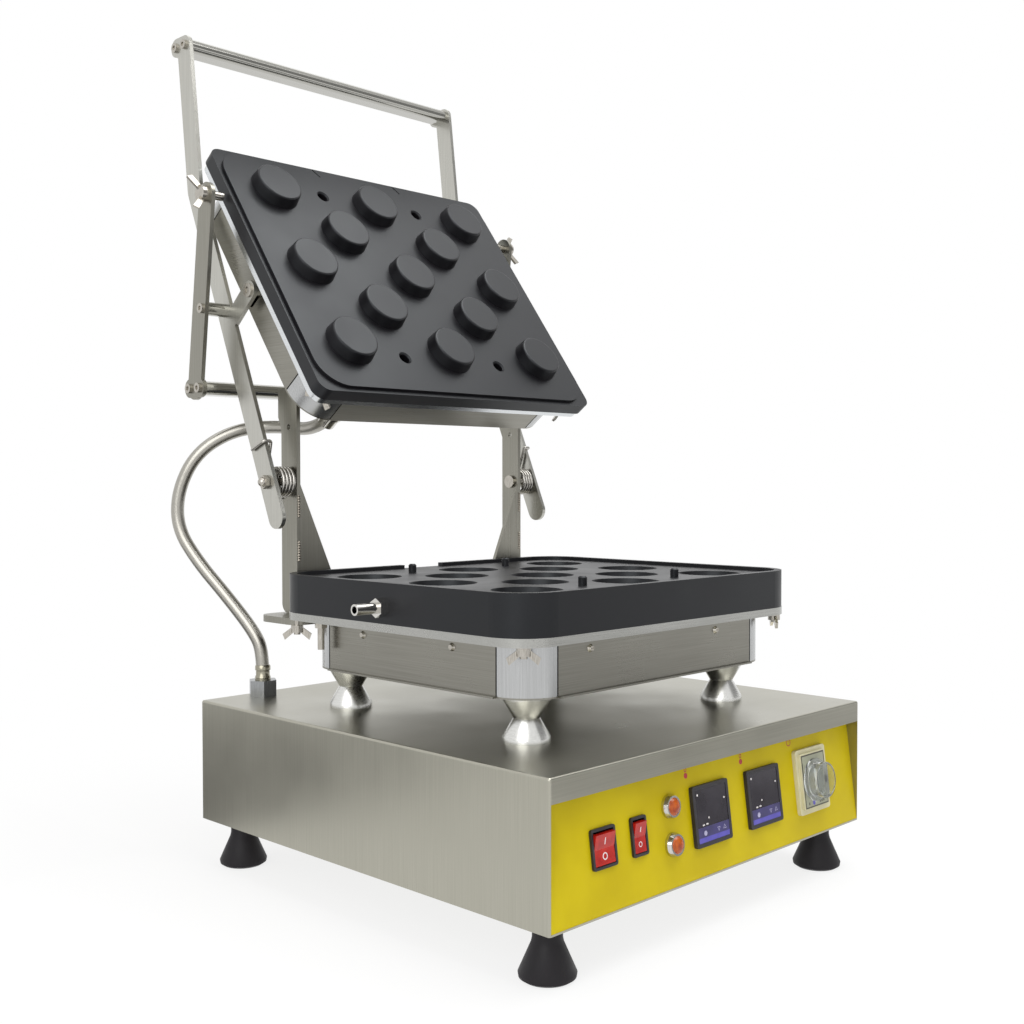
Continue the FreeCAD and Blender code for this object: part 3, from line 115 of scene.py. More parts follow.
cameraSet = {"place": (-0.83359, -0.84167, 0.35621), "yaw": 45.580, "pitch": -1.451, "roll": -0.055,
             "lens": 43.93, "sensor": 36.0}
cameraData = bpy.data.cameras.new("camera")
cameraData.lens = cameraSet["lens"]
cameraData.sensor_width = cameraSet["sensor"]
camera = bpy.data.objects.new("camera", cameraData)
camera.location = cameraSet["place"]
yaw, pitch, roll = (math.radians(cameraSet[name]) for name in ("yaw", "pitch", "roll"))
lookWay = Vector((math.sin(yaw) * math.cos(pitch), math.cos(yaw) * math.cos(pitch), math.sin(pitch)))
lookTurn = lookWay.to_track_quat("-Z", "Y").to_matrix() @ Matrix.Rotation(roll, 3, "Z")
camera.rotation_euler = lookTurn.to_euler()
bpy.context.scene.collection.objects.link(camera)
bpy.context.scene.camera = camera
print("camera placed")


# Armoured hose in two lengths, from the head's gland to the nut on the base

hoseSet = {
    "radius": 6.2 * mm,
    "sides": 28,
    "smooth": 60,
    "spanSteps": 24,
    "upper": ((-118.0, 88.769, 421.591), (-118.0, 113.333, 403.513), (-119.8, 143.715, 406.2)),
    "lower": ((-119.8, 143.715, 406.2), (-122.2, 183.515, 409.8), (-156.0, 202.715, 404.9),
              (-184.0, 222.215, 382.9), (-196.5, 235.215, 346.5), (-197.0, 235.715, 310.5),
              (-186.0, 216.215, 277.5), (-172.0, 188.715, 245.5), (-159.0, 162.715, 212.5),
              (-155.0, 154.715, 194.0), (-155.0, 154.715, 169.5)),
    "length": 0.3630,
    "still": (-0.190, 0.2354, 0.3245),  # from here down it stays with the base
}


def splinePoints(route):  # points along a smooth spline over the route
    curve = bpy.data.curves.new("route", "CURVE")
    curve.dimensions = "3D"
    curve.resolution_u = hoseSet["spanSteps"]
    spline = curve.splines.new("NURBS")
    spline.points.add(len(route) - 1)
    for point, place in zip(spline.points, route):
        point.co = [c * mm for c in place] + [1.0]
    spline.order_u = 3
    spline.use_endpoint_u = True
    holder = bpy.data.objects.new("route", curve)
    line = bpy.data.meshes.new_from_object(holder)
    points = [v.co.copy() for v in line.vertices]
    bpy.data.objects.remove(holder)
    bpy.data.curves.remove(curve)
    bpy.data.meshes.remove(line)
    return points


def tubeMesh(points, radiusAt, sides):  # closed tube along the points, mapped in radians round and along
    bm = bmesh.new()
    layer = bm.loops.layers.uv.new("map")
    last = len(points) - 1
    ways = [(points[min(i + 1, last)] - points[max(i - 1, 0)]).normalized() for i in range(last + 1)]
    side = ways[0].orthogonal().normalized()
    turn = 2 * math.pi / sides
    rings, runs, run = [], [], 0.0
    for i, (point, way) in enumerate(zip(points, ways)):
        side = (side - way * side.dot(way)).normalized()
        across = way.cross(side)
        if i:
            run += (point - points[i - 1]).length
        radius = radiusAt(run)
        rings.append([bm.verts.new(point + (side * math.cos(a) + across * math.sin(a)) * radius)
                      for a in anglesRound(sides)])
        runs.append(run / radiusAt(0.0))
    for i in range(last):
        for k in range(sides):
            nextK = (k + 1) % sides
            face = bm.faces.new((rings[i][k], rings[i][nextK], rings[i + 1][nextK], rings[i + 1][k]))
            corners = ((k, i), (k + 1, i), (k + 1, i + 1), (k, i + 1))
            for loop, (around, along) in zip(face.loops, corners):
                loop[layer].uv = (around * turn, runs[along])
    bm.faces.new(rings[0])
    bm.faces.new(rings[-1])
    return bm


# Woven stainless wire: crossing bundles, smoother where one lies on top; the colour is painted lighter there
# (painted glint) and darker in the hollows between them (painted shade).
# 36 lobes round 39 mm of girth put the bundles 1.1 mm apart; their single wires are too fine to draw
braidSet = {"bands": 18, "slant": 1.0, "wire": 0.3 * mm, "bump": 0.16, "smooth": 0.22, "rough": 0.34,
            "shadeToGlintColours": ((0.0, "#8f8c85"), (0.45, "#aaa79f"), (1.0, "#c0beb7"))}


def braidedSteel(settings):
    material, tree, shader = newMaterial("braidedStainlessWire", Metallic=1.0)
    place = add(tree, "ShaderNodeUVMap", uv_map="map")
    parts = add(tree, "ShaderNodeSeparateXYZ", {0: place.outputs[0]})
    bands = []
    for slant in (settings["slant"], -settings["slant"]):
        slanted = add(tree, "ShaderNodeMath", {0: parts.outputs[1], 1: slant, 2: parts.outputs[0]},
                      operation="MULTIPLY_ADD")
        turned = add(tree, "ShaderNodeMath", {0: slanted.outputs[0], 1: float(settings["bands"])},
                     operation="MULTIPLY")
        bands.append(add(tree, "ShaderNodeMath", {0: turned.outputs[0]}, operation="SINE").outputs[0])
    weave = add(tree, "ShaderNodeMath", {0: bands[0], 1: bands[1]}, operation="MULTIPLY")
    lifted = add(tree, "ShaderNodeMapRange",
                 {"Value": weave.outputs[0], "From Min": -1.0, "From Max": 1.0}).outputs[0]
    # colour from the weave's height: painted shade low between the bundles, painted glint on top
    colour = add(tree, "ShaderNodeValToRGB", {"Fac": lifted}, settings["shadeToGlintColours"])
    rough = add(tree, "ShaderNodeMapRange",
                {"Value": lifted, "To Min": settings["rough"], "To Max": settings["smooth"]})
    bump = add(tree, "ShaderNodeBump",
               {"Height": lifted, "Strength": settings["bump"], "Distance": settings["wire"]})
    linkFinish(tree, shader, colour, rough, bump)
    return material


braid = braidedSteel(braidSet)
hoses, hosePaths = {}, {}
for routeName, node in (("upper", "conduit_hose_upper"), ("lower", "conduit_hose_lower")):
    hosePaths[routeName] = splinePoints(hoseSet[routeName])
    tube = tubeMesh(hosePaths[routeName], lambda run: hoseSet["radius"], hoseSet["sides"])
    hoses[routeName] = meshPiece("hose" + routeName.title(), tube, braid, None, hoseSet["smooth"])
    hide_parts(node)
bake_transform(hoses["upper"])
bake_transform(hoses["lower"])
print("hose laid")


# Finishes. Real scratches and mould grain are 0.05 to 0.2 mm wide, too fine for the render,
# so pitches and grains of 0.7 to 0.9 mm are drawn as coarse as they need to show

scratchSet = {"detail": 4.0, "mix": 0.65, "tones": (0.3, 0.7), "share": 0.35, "worn": (0.35, 1.0),
              "depth": 0.05 * mm, "smudgeDetail": 3.0, "wallFacing": 0.6}
grainSet = {"detail": 2.0, "cloudDetail": 3.0, "tones": (0.35, 0.65), "worn": (0.3, 0.7)}


def objectPlace(tree, turn=0, scale=(1.0, 1.0, 1.0)):  # turned about x, scaled to features per metre
    where = add(tree, "ShaderNodeTexCoord")
    return add(tree, "ShaderNodeMapping", {"Vector": where.outputs["Object"], "Scale": scale,
                                           "Rotation": (math.radians(turn), 0.0, 0.0)}).outputs[0]


def brushedMetal(settings):  # fine scratches one way, and slow smudges from handling
    material, tree, shader = newMaterial(settings["name"], Metallic=1.0)
    fine, slow = 1 / settings["pitch"], 1 / settings["length"]
    scales = {"x": (slow, fine, fine), "y": (fine, slow, fine), "z": (fine, fine, slow)}
    place = objectPlace(tree, settings["turn"], scales[settings["along"]])
    if settings.get("sides"):  # the side walls of a box are ground another way
        other = objectPlace(tree, settings["turn"], scales[settings["sides"]])
        where = add(tree, "ShaderNodeTexCoord")
        facing = add(tree, "ShaderNodeSeparateXYZ", {0: where.outputs["Normal"]})
        across = add(tree, "ShaderNodeMath", {0: facing.outputs[0]}, operation="ABSOLUTE")
        onSide = add(tree, "ShaderNodeMath", {0: across.outputs[0], 1: scratchSet["wallFacing"]},
                     operation="GREATER_THAN")
        place = add(tree, "ShaderNodeMix", {"Factor": onSide.outputs[0], 4: place, 5: other},
                    data_type="VECTOR").outputs[1]  # 4, 5 and 1 are the vector sockets
    scratches = add(tree, "ShaderNodeTexNoise",
                    {"Vector": place, "Scale": 1.0, "Detail": scratchSet["detail"],
                     "Roughness": scratchSet["mix"]}).outputs["Fac"]
    smudge = add(tree, "ShaderNodeTexNoise",
                 {"Vector": objectPlace(tree), "Scale": 1 / settings["smudge"],
                  "Detail": scratchSet["smudgeDetail"]}).outputs["Fac"]
    tones = zip(scratchSet["tones"], (settings["dark"], settings["light"]))
    colour = add(tree, "ShaderNodeValToRGB", {"Fac": scratches}, tuple(tones))
    handled = add(tree, "ShaderNodeMath", {0: scratches, 1: scratchSet["share"], 2: smudge},
                  operation="MULTIPLY_ADD")
    wornLow, wornHigh = scratchSet["worn"]
    rough = add(tree, "ShaderNodeMapRange",
                {"Value": handled.outputs[0], "From Min": wornLow, "From Max": wornHigh,
                 "To Min": settings["smooth"], "To Max": settings["rough"]})
    bump = add(tree, "ShaderNodeBump", {"Height": scratches, "Strength": settings["bump"],
                                        "Distance": scratchSet["depth"]})
    linkFinish(tree, shader, colour, rough, bump)
    return material


def mouldedSurface(settings, **shaderInputs):  # plastic, rubber, film or coat: fine grain and a cloudy tone
    material, tree, shader = newMaterial(settings["name"], **shaderInputs)
    place = objectPlace(tree)
    grain = add(tree, "ShaderNodeTexNoise", {"Vector": place, "Scale": 1 / settings["grain"],
                                             "Detail": grainSet["detail"]}).outputs["Fac"]
    cloud = add(tree, "ShaderNodeTexNoise", {"Vector": place, "Scale": 1 / settings["cloud"],
                                             "Detail": grainSet["cloudDetail"]}).outputs["Fac"]
    tones = zip(grainSet["tones"], (settings["dark"], settings["light"]))
    colour = add(tree, "ShaderNodeValToRGB", {"Fac": cloud}, tuple(tones))
    wornLow, wornHigh = grainSet["worn"]
    rough = add(tree, "ShaderNodeMapRange", {"Value": cloud, "From Min": wornLow, "From Max": wornHigh,
                                             "To Min": settings["smooth"], "To Max": settings["rough"]})
    bump = add(tree, "ShaderNodeBump", {"Height": grain, "Strength": settings["bump"],
                                        "Distance": settings["depth"]})
    linkFinish(tree, shader, colour, rough, bump)
    return material


steelBase = {"turn": 0, "length": 90 * mm, "pitch": 0.7 * mm, "smudge": 70 * mm, "bump": 0.12}
finishes = {
    # ground sheet: warm grey, with reflections drawn out into soft streaks
    "sheet": brushedMetal({**steelBase, "name": "brushedStainlessSheet", "along": "x", "sides": "z",
                           "dark": "#a7a599", "light": "#b3b1a5", "smooth": 0.26, "rough": 0.38}),
    # the same sheet round the heaters, ground along each wall; its darker colour is painted shade
    "shadedSkirt": brushedMetal({**steelBase, "name": "brushedStainlessSkirtPaintedShade", "along": "x", "sides": "y",
                           "dark": "#88867e", "light": "#98968e", "smooth": 0.24, "rough": 0.36}),
    # flat bar ground along its slope, with streaks that follow the lever; its pale colour is a painted
    # reflection
    "lever": brushedMetal({**steelBase, "name": "groundStainlessLeverPaintedReflection", "along": "z", "turn": 23,
                           "dark": "#b2b1aa", "light": "#c4c3bc", "smooth": 0.24, "rough": 0.38}),
    # upright flat bar: the same streaks; its greyer colour is painted shade
    "bar": brushedMetal({**steelBase, "name": "groundStainlessBarPaintedShade", "along": "z",
                         "dark": "#8a887f", "light": "#9a988f", "smooth": 0.24, "rough": 0.38}),
    # round bar polished by hands: sharp long highlights
    "grip": brushedMetal({**steelBase, "name": "polishedStainlessBar", "along": "x", "bump": 0.04,
                          "dark": "#adaca6", "light": "#bab9b3", "smooth": 0.1, "rough": 0.18}),
    # machined plate edge: neutral, a little soft
    "aluminium": brushedMetal({**steelBase, "name": "machinedAluminium", "along": "x", "length": 40 * mm,
                               "dark": "#a3a39f", "light": "#b5b5b1", "smooth": 0.2, "rough": 0.34}),
    # polished plate edge: smoother, and its bright cool colour is a painted highlight round the head
    "rim": brushedMetal({**steelBase, "name": "polishedAluminiumPaintedHighlight", "along": "x", "length": 60 * mm,
                         "sides": "y", "dark": "#d0d3d5", "light": "#dee1e3",
                         "smooth": 0.16, "rough": 0.26, "bump": 0.06}),
    # milled corner: upright tool marks under a clear reflection
    "block": brushedMetal({**steelBase, "name": "milledAluminium", "along": "z", "length": 60 * mm,
                           "bump": 0.06, "dark": "#b0b1b1", "light": "#bebfbf",
                           "smooth": 0.2, "rough": 0.3}),
    # turned leg: bright, with fine marks that run round it
    "turned": brushedMetal({**steelBase, "name": "turnedAluminium", "along": "x", "length": 40 * mm,
                            "sides": "y", "dark": "#cfcfcc", "light": "#e0e0dd",
                            "smooth": 0.22, "rough": 0.34}),
    # small plated screws and nuts: uneven warm grey, quick glints
    "fastener": brushedMetal({**steelBase, "name": "platedSteelFastener", "along": "z", "length": 6 * mm,
                              "smudge": 9 * mm, "dark": "#a39e95", "light": "#c4c0b8",
                              "smooth": 0.14, "rough": 0.3}),
    # bright plating: nearly a mirror
    "chrome": brushedMetal({**steelBase, "name": "nickelChromePlate", "along": "z", "length": 20 * mm,
                            "dark": "#c6c4bf", "light": "#d8d6d2",
                            "smooth": 0.06, "rough": 0.14, "bump": 0.03}),
    # drawn wire: lines along it and a narrow highlight on each turn
    "spring": brushedMetal({**steelBase, "name": "drawnSpringWire", "along": "x", "length": 4 * mm,
                            "dark": "#a5a29c", "light": "#c4c1bb", "smooth": 0.16, "rough": 0.3}),
    # heated sheath: dull brown straw tint
    "sheath": brushedMetal({**steelBase, "name": "heatTintedSheath", "along": "x", "length": 30 * mm,
                            "dark": "#6a5f52", "light": "#857a6c", "smooth": 0.35, "rough": 0.5}),
    # zinc plating: cool blue grey
    "nut": brushedMetal({**steelBase, "name": "zincPlatedNut", "along": "z", "length": 15 * mm,
                         "dark": "#8c8e90", "light": "#a4a6a8", "smooth": 0.18, "rough": 0.32}),
    # nickel over brass: warm and glossy
    "ferrule": brushedMetal({**steelBase, "name": "nickelPlatedBrass", "along": "z", "length": 15 * mm,
                             "dark": "#8f8b7c", "light": "#a8a494",
                             "smooth": 0.12, "rough": 0.22, "bump": 0.05}),
    # weld left as laid: straw and grey patches on small ripples
    "weld": brushedMetal({**steelBase, "name": "heatTintedWeldBead", "along": "x", "length": 2 * mm,
                          "smudge": 6 * mm, "dark": "#847c70", "light": "#b3ada2",
                          "smooth": 0.25, "rough": 0.4}),
    # sprayed and baked coat: nearly black, with a broad cool sheen
    "mould": mouldedSurface({"name": "charcoalNonStickCoat", "grain": 0.9 * mm, "cloud": 60 * mm,
                             "depth": 0.05 * mm, "dark": "#0f0e11", "light": "#161417",
                             "smooth": 0.34, "rough": 0.44, "bump": 0.25},
                            **{"Specular IOR Level": 0.38, "Specular Tint": linear("#ecf4f8")}),
    # printed film: even strong yellow, nearly matt
    "panel": mouldedSurface({"name": "printedPolycarbonateFilm", "grain": 0.8 * mm, "cloud": 45 * mm,
                             "depth": 0.03 * mm, "dark": "#c2ad04", "light": "#ccb80a",
                             "smooth": 0.36, "rough": 0.44, "bump": 0.15},
                            **{"Specular IOR Level": 0.14}),
    # moulded rubber: matt black with a soft edge light
    "rubber": mouldedSurface({"name": "mouldedRubber", "grain": 0.9 * mm, "cloud": 12 * mm,
                              "depth": 0.06 * mm, "dark": "#131014", "light": "#1a171b",
                              "smooth": 0.45, "rough": 0.6, "bump": 0.3},
                             **{"Specular IOR Level": 0.3}),
    # moulded housing plastic: black with a faint spark grain
    "blackPlastic": mouldedSurface({"name": "mouldedBlackABS", "grain": 0.7 * mm, "cloud": 15 * mm,
                                    "depth": 0.05 * mm, "dark": "#201d22", "light": "#29262b",
                                    "smooth": 0.35, "rough": 0.5, "bump": 0.3}),
    # smoked window: smooth and dark, with clear reflections
    "window": mouldedSurface({"name": "smokedAcrylicWindow", "grain": 3 * mm, "cloud": 20 * mm,
                              "depth": 0.01 * mm, "dark": "#28242b", "light": "#2f2b33",
                              "smooth": 0.12, "rough": 0.2, "bump": 0.05}),
    # printed key film: deep violet, satin
    "keys": mouldedSurface({"name": "printedMembraneFilm", "grain": 0.8 * mm, "cloud": 12 * mm,
                            "depth": 0.02 * mm, "dark": "#35305f", "light": "#3d3770",
                            "smooth": 0.3, "rough": 0.4, "bump": 0.12}),
    # see-through red moulding: glossy, with depth at its edges
    "rocker": mouldedSurface({"name": "translucentRedPolycarbonate", "grain": 4 * mm, "cloud": 8 * mm,
                              "depth": 0.02 * mm, "dark": "#b81a12", "light": "#d02618",
                              "smooth": 0.14, "rough": 0.24, "bump": 0.05},
                             **{"Transmission Weight": 0.2}),
    # faceted lamp lens: orange that sparkles in cells
    "lens": mouldedSurface({"name": "translucentOrangeAcrylic", "grain": 2.6 * mm, "cloud": 6 * mm,
                            "depth": 0.6 * mm, "dark": "#b03f06", "light": "#dd6a10",
                            "smooth": 0.08, "rough": 0.16, "bump": 0.6},
                           **{"Transmission Weight": 0.35}),
    # moulded case: pale cream, soft gloss
    "cream": mouldedSurface({"name": "mouldedCreamABS", "grain": 0.8 * mm, "cloud": 20 * mm,
                             "depth": 0.04 * mm, "dark": "#c9c39f", "light": "#d5cfab",
                             "smooth": 0.35, "rough": 0.45, "bump": 0.2}),
    # moulded nylon: plain mid grey, dull
    "greyPlastic": mouldedSurface({"name": "mouldedGreyNylon", "grain": 0.8 * mm, "cloud": 20 * mm,
                                   "depth": 0.04 * mm, "dark": "#6b6d70", "light": "#7c7e82",
                                   "smooth": 0.4, "rough": 0.55, "bump": 0.2}),
    # clear moulding: glassy, with bright bent edges
    "clear": mouldedSurface({"name": "clearMouldedAcrylic", "grain": 6 * mm, "cloud": 10 * mm,
                             "depth": 0.01 * mm, "dark": "#e4e7e6", "light": "#f2f4f3",
                             "smooth": 0.03, "rough": 0.08, "bump": 0.05},
                            **{"Transmission Weight": 0.92, "IOR": 1.49}),
    # printed card behind the knob: grey green, matt
    "dialFace": mouldedSurface({"name": "printedDialCard", "grain": 0.8 * mm, "cloud": 14 * mm,
                                "depth": 0.02 * mm, "dark": "#9a9c86", "light": "#a7a993",
                                "smooth": 0.4, "rough": 0.5, "bump": 0.1}),
}
# screen inks: thin flat films, each a shade uneven in tone
inkBase = {"grain": 0.7 * mm, "cloud": 9 * mm, "depth": 0.02 * mm, "smooth": 0.4, "rough": 0.5, "bump": 0.1}
inks = {
    "white": mouldedSurface({**inkBase, "name": "whiteScreenInk", "dark": "#dcd6d6", "light": "#ebe6e6"}),
    "pale": mouldedSurface({**inkBase, "name": "paleScreenInk", "dark": "#a9a6c4", "light": "#b9b6d2"}),
    "red": mouldedSurface({**inkBase, "name": "redScreenInk", "dark": "#a3232b", "light": "#b32c33"}),
    "violet": mouldedSurface({**inkBase, "name": "violetScreenInk", "dark": "#5049a8", "light": "#5c55b8"}),
    "dark": mouldedSurface({**inkBase, "name": "darkScreenInkAndPaintedShadow", "dark": "#3a382f", "light": "#47453b"}),
}
dressed = {
    "sheet": "base_housing base_floor_plate",
    "shadedSkirt": "lower_heater_cover upper_heater_cover",
    "lever": "left_lever right_lever",
    "bar": "left_post right_post outer_stays rear_mount_bar head_guides",
    "grip": "grip_bar rear_cross_bar stay_spacers head_pivot_shaft",
    "turned": "standoffs",
    "aluminium": "lower_heater_plate",
    "rim": "upper_heater_plate",
    "block": "lower_corner_blocks upper_corner_blocks",
    "fastener": "lower_cover_screws upper_cover_screws lower_studs upper_studs lower_wing_nuts "
                "upper_wing_nuts earth_stud frame_screws lever_pivot_pins head_pivot_bolts",
    "chrome": "lamp_bezels mould_side_fitting conduit_head_gland",
    "ferrule": "conduit_ferrule",
    "sheath": "lower_heating_element upper_heating_element",
    "nut": "conduit_base_nut",
    "mould": "lower_mould upper_mould dowel_pins",
    "panel": "control_panel",
    "rubber": "rubber_feet",
    "blackPlastic": "power_switch_frame alarm_switch_frame controller_cases power_inlet_gland timer_buzzer",
    "window": "controller_windows",
    "keys": "controller_keys",
    "rocker": "power_rocker alarm_rocker",
    "lens": "lamp_lenses",
    "cream": "timer_case timer_dial",
    "clear": "timer_knob",
    "greyPlastic": "terminal_block heater_relays",
}
for finishName, nodeNames in dressed.items():
    for nodeName in nodeNames.split():
        held = nodes[nodeName].data.materials
        held.clear()
        held.append(finishes[finishName])
print("finishes given to", sum(len(names.split()) for names in dressed.values()), "nodes")


# Torsion springs, wound round the lever pivots and hooked over the levers

springSet = {"pivot": (118.815, 354.9), "wire": 1.6, "coil": 12.9, "startX": 151.13, "turns": 4,
             "pitch": 3.7, "lean": 22.9, "lead": 40.0, "postLeg": 16.0, "hookX": 175.9, "hook": 20.0,
             "bend": 2.2, "bendSteps": 6, "turnSteps": 30, "sides": 14, "smooth": 50,
             "blendAt": (0.12, 0.355)}  # y and z of a line near the lever pivots, in metres


def wireBend(before, corner, after):  # points of a bend in the spring wire
    radius, steps = springSet["bend"], springSet["bendSteps"]
    back, ahead = (before - corner).normalized(), (after - corner).normalized()
    reach = radius / math.tan(back.angle(ahead) / 2)
    start, end = corner + back * reach, corner + ahead * reach
    centre = corner + (back + ahead).normalized() * math.hypot(reach, radius)
    return [centre + (start - centre).slerp(end - centre, k / steps) * radius  # slerp gives unit length
            for k in range(steps + 1)]


def springPath(side):  # side is -1 on the left
    pivotY, pivotZ = springSet["pivot"]
    startX, radius = springSet["startX"], springSet["coil"]
    lean, lead = math.radians(springSet["lean"]), math.radians(springSet["lead"])
    total = 2 * math.pi * springSet["turns"] + lead - lean
    count = springSet["turnSteps"] * springSet["turns"]
    rise = springSet["pitch"] / (2 * math.pi)
    coil = [Vector((startX + rise * turn, pivotY + radius * math.cos(turn), pivotZ + radius * math.sin(turn)))
            for turn in (total * k / count for k in range(count + 1))]
    leaving = Vector((rise / radius, -math.sin(total), math.cos(total))).normalized()
    leverLeg = radius * (1 + math.cos(lead)) / math.sin(lead)
    legEnd = coil[-1] + leaving * leverLeg
    hookCorner = Vector((springSet["hookX"], legEnd.y, legEnd.z))
    hookEnd = hookCorner + Vector((0, math.cos(lean), -math.sin(lean))) * springSet["hook"]
    postEnd = coil[0] - Vector((rise / radius, 0, 1)).normalized() * springSet["postLeg"]
    path = [postEnd] + coil + wireBend(coil[-1], legEnd, hookCorner)
    path += wireBend(legEnd, hookCorner, hookEnd) + [hookEnd]
    return [Vector((side * p.x, p.y, p.z)) * mm for p in path]


for springName, side in (("springLeft", -1), ("springRight", 1)):
    springTube = tubeMesh(springPath(side), lambda run: springSet["wire"] * mm, springSet["sides"])
    spring = meshPiece(springName, springTube, finishes["spring"], None, springSet["smooth"])
    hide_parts("torsion_springs")
    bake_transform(spring)
print("springs wound")


# Weld beads where each gusset meets its post

weldSet = {"x": 146.4, "y": 108.163, "runs": ((322.3, 342.7), (281.5, 300.1)), "radius": 1.6,
           "ripple": 0.3, "spacing": 2.4, "step": 0.4, "sides": 14, "smooth": 60}


def beadRadius(run):  # swells once for each dab of the weld
    swell = math.sin(2 * math.pi * run / mm / weldSet["spacing"])
    return (weldSet["radius"] + weldSet["ripple"] * swell) * mm


for sideName, side in (("Left", -1), ("Right", 1)):
    for k, (low, high) in enumerate(weldSet["runs"]):
        steps = int((high - low) / weldSet["step"])
        line = [Vector((side * weldSet["x"], weldSet["y"], low + (high - low) * i / steps)) * mm
                for i in range(steps + 1)]
        meshPiece("weldBead%s%d" % (sideName, k + 1), tubeMesh(line, beadRadius, weldSet["sides"]),
                  finishes["weld"], "machine_base", weldSet["smooth"])
print("weld beads laid")


# Turned standoffs, feet and hose ferrule, with smooth sides

turnedLook = {"sides": 64, "smooth": 35}
turnedSet = {
    "standoffs": {"profile": ((19.0, 152.5), (19.0, 156.5), (10.5, 171.0), (19.0, 185.5), (19.0, 189.5)),
                  "places": [(x, y) for x in (-131.0, 131.0) for y in (-168.885, 51.115)],
                  "finish": "turned", "slot": "machined_aluminium"},
    "rubber_feet": {"profile": ((18.0, 0.0), (21.0, 2.0), (21.5, 5.0), (12.0, 26.5), (11.2, 30.0),
                                (11.2, 42.5)),
                    "places": [(x, y) for x in (-183.0, 183.0) for y in (-239.285, 146.715)],
                    "finish": "rubber", "slot": "foot_rubber"},
    "conduit_ferrule": {"profile": ((7.4, 167.5), (7.4, 168.6), (7.0, 169.0), (7.4, 169.6), (7.2, 170.6),
                                    (6.5, 172.0), (6.5, 176.2), (7.2, 176.8), (7.2, 180.4), (6.6, 181.5)),
                        "places": [(-155.0, 154.715)],
                        "finish": "ferrule", "slot": "chromed"},
}


def turnedPiece(bm, profile, x, y):  # closed solid of revolution about z; profile is (radius, height)
    rings = [[bm.verts.new(Vector((x + r * math.cos(a), y + r * math.sin(a), z)) * mm)
              for a in anglesRound(turnedLook["sides"])] for r, z in profile]
    for low, high in zip(rings, rings[1:]):
        for k in range(len(low)):
            nextK = (k + 1) % len(low)
            bm.faces.new((low[k], low[nextK], high[nextK], high[k]))
    bm.faces.new(rings[0])
    bm.faces.new(rings[-1])


for turnedName, settings in turnedSet.items():
    turnedBm = bmesh.new()
    for x, y in settings["places"]:
        turnedPiece(turnedBm, settings["profile"], x, y)
    made = meshPiece(turnedName + "Turned", turnedBm, finishes[settings["finish"]], "machine_base",
                     turnedLook["smooth"])
    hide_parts(turnedName)
print("standoffs, feet and ferrule turned")


# Prints on the controls, laid onto the surfaces as thin ink. Places are millimetres across and up the panel

panelSet = {"foot": (0.0, -265.985, 44.0), "lean": 7.4, "lift": 0.06, "sink": 0.04, "castFrom": 40}
panelTurn = math.radians(panelSet["lean"])
panelUp = Vector((0, math.sin(panelTurn), math.cos(panelTurn)))
panelOut = Vector((0, -math.cos(panelTurn), math.sin(panelTurn)))


def panelPlace(u, v, w):  # across, up and out of the panel, to a world place
    return (Vector(panelSet["foot"]) + Vector((u, 0, 0)) + panelUp * v + panelOut * w) * mm


def bar(u, v, width, height):
    w, h = width / 2, height / 2
    return [[(u - w, v - h), (u + w, v - h), (u + w, v + h), (u - w, v + h)]]


def between(far, near):  # faces between two outlines of as many corners
    count = len(far)
    return [[far[k], far[(k + 1) % count], near[(k + 1) % count], near[k]] for k in range(count)]


def outline(u, v, radius, angles):
    return [(u + radius * math.cos(a), v + radius * math.sin(a)) for a in angles]


def ring(u, v, outer, inner, corners=28, turn=0.0):
    angles = anglesRound(corners, turn)
    return between(outline(u, v, outer, angles), outline(u, v, inner, angles))


def disc(u, v, radius, corners=20):
    return [outline(u, v, radius, anglesRound(corners))]


def frameOf(u, v, width, height, border):
    return between(bar(u, v, width, height)[0], bar(u, v, width - 2 * border, height - 2 * border)[0])


def holedPlate(u, v, width, height, hole, corners=32):
    corner, least = math.atan2(height, width), 1e-6
    angles = sorted(anglesRound(corners) + [corner, math.pi - corner, math.pi + corner, 2 * math.pi - corner])
    far = []
    for a in angles:
        reach = min(width / 2 / max(abs(math.cos(a)), least), height / 2 / max(abs(math.sin(a)), least))
        far.append((u + reach * math.cos(a), v + reach * math.sin(a)))
    return between(far, outline(u, v, hole, angles))


def printOn(name, ground, shapes, material, body, lift=panelSet["lift"]):
    surface = None
    if isinstance(ground, str):  # ground is a node's name, or else a height off the panel
        groundBm = bmesh.new()
        groundBm.from_mesh(nodes[ground].data)
        groundBm.transform(nodes[ground].matrix_world)
        surface = BVHTree.FromBMesh(groundBm)
        groundBm.free()
    bm = bmesh.new()
    for faces in shapes:
        tops, bottoms, uses = {}, {}, {}
        for face in faces:
            for u, v in face:
                if (u, v) in tops:
                    continue
                if surface:
                    place = surface.ray_cast(panelPlace(u, v, panelSet["castFrom"]), -panelOut)[0]
                else:
                    place = panelPlace(u, v, ground)
                tops[u, v] = bm.verts.new(place + panelOut * lift * mm)
                bottoms[u, v] = bm.verts.new(place - panelOut * panelSet["sink"] * mm)
            for k in range(len(face)):
                edge = frozenset((face[k], face[(k + 1) % len(face)]))
                uses[edge] = uses.get(edge, 0) + 1
            bm.faces.new([tops[corner] for corner in face])
            bm.faces.new([bottoms[corner] for corner in reversed(face)])
        for edge, count in uses.items():
            if count == 1:  # the ink's rim
                one, two = edge
                bm.faces.new((tops[one], tops[two], bottoms[two], bottoms[one]))
    return meshPiece(name, bm, material, body)


rockerMarks = {"places": (("power_rocker", -146.7, 1.0), ("alarm_rocker", -105.9, 0.75)),  # node, u, size
               "barV": 52.0, "bar": (0.9, 5.0), "ringV": 41.0, "ring": (2.7, 1.9)}
for rockerName, u, size in rockerMarks["places"]:
    barWidth, barHeight = rockerMarks["bar"]
    ringOuter, ringInner = rockerMarks["ring"]
    printOn(rockerName + "Marks", rockerName,
            [bar(u, rockerMarks["barV"], barWidth, barHeight * size),
             ring(u, rockerMarks["ringV"], ringOuter * size, ringInner * size)],
            inks["white"], rockerName)

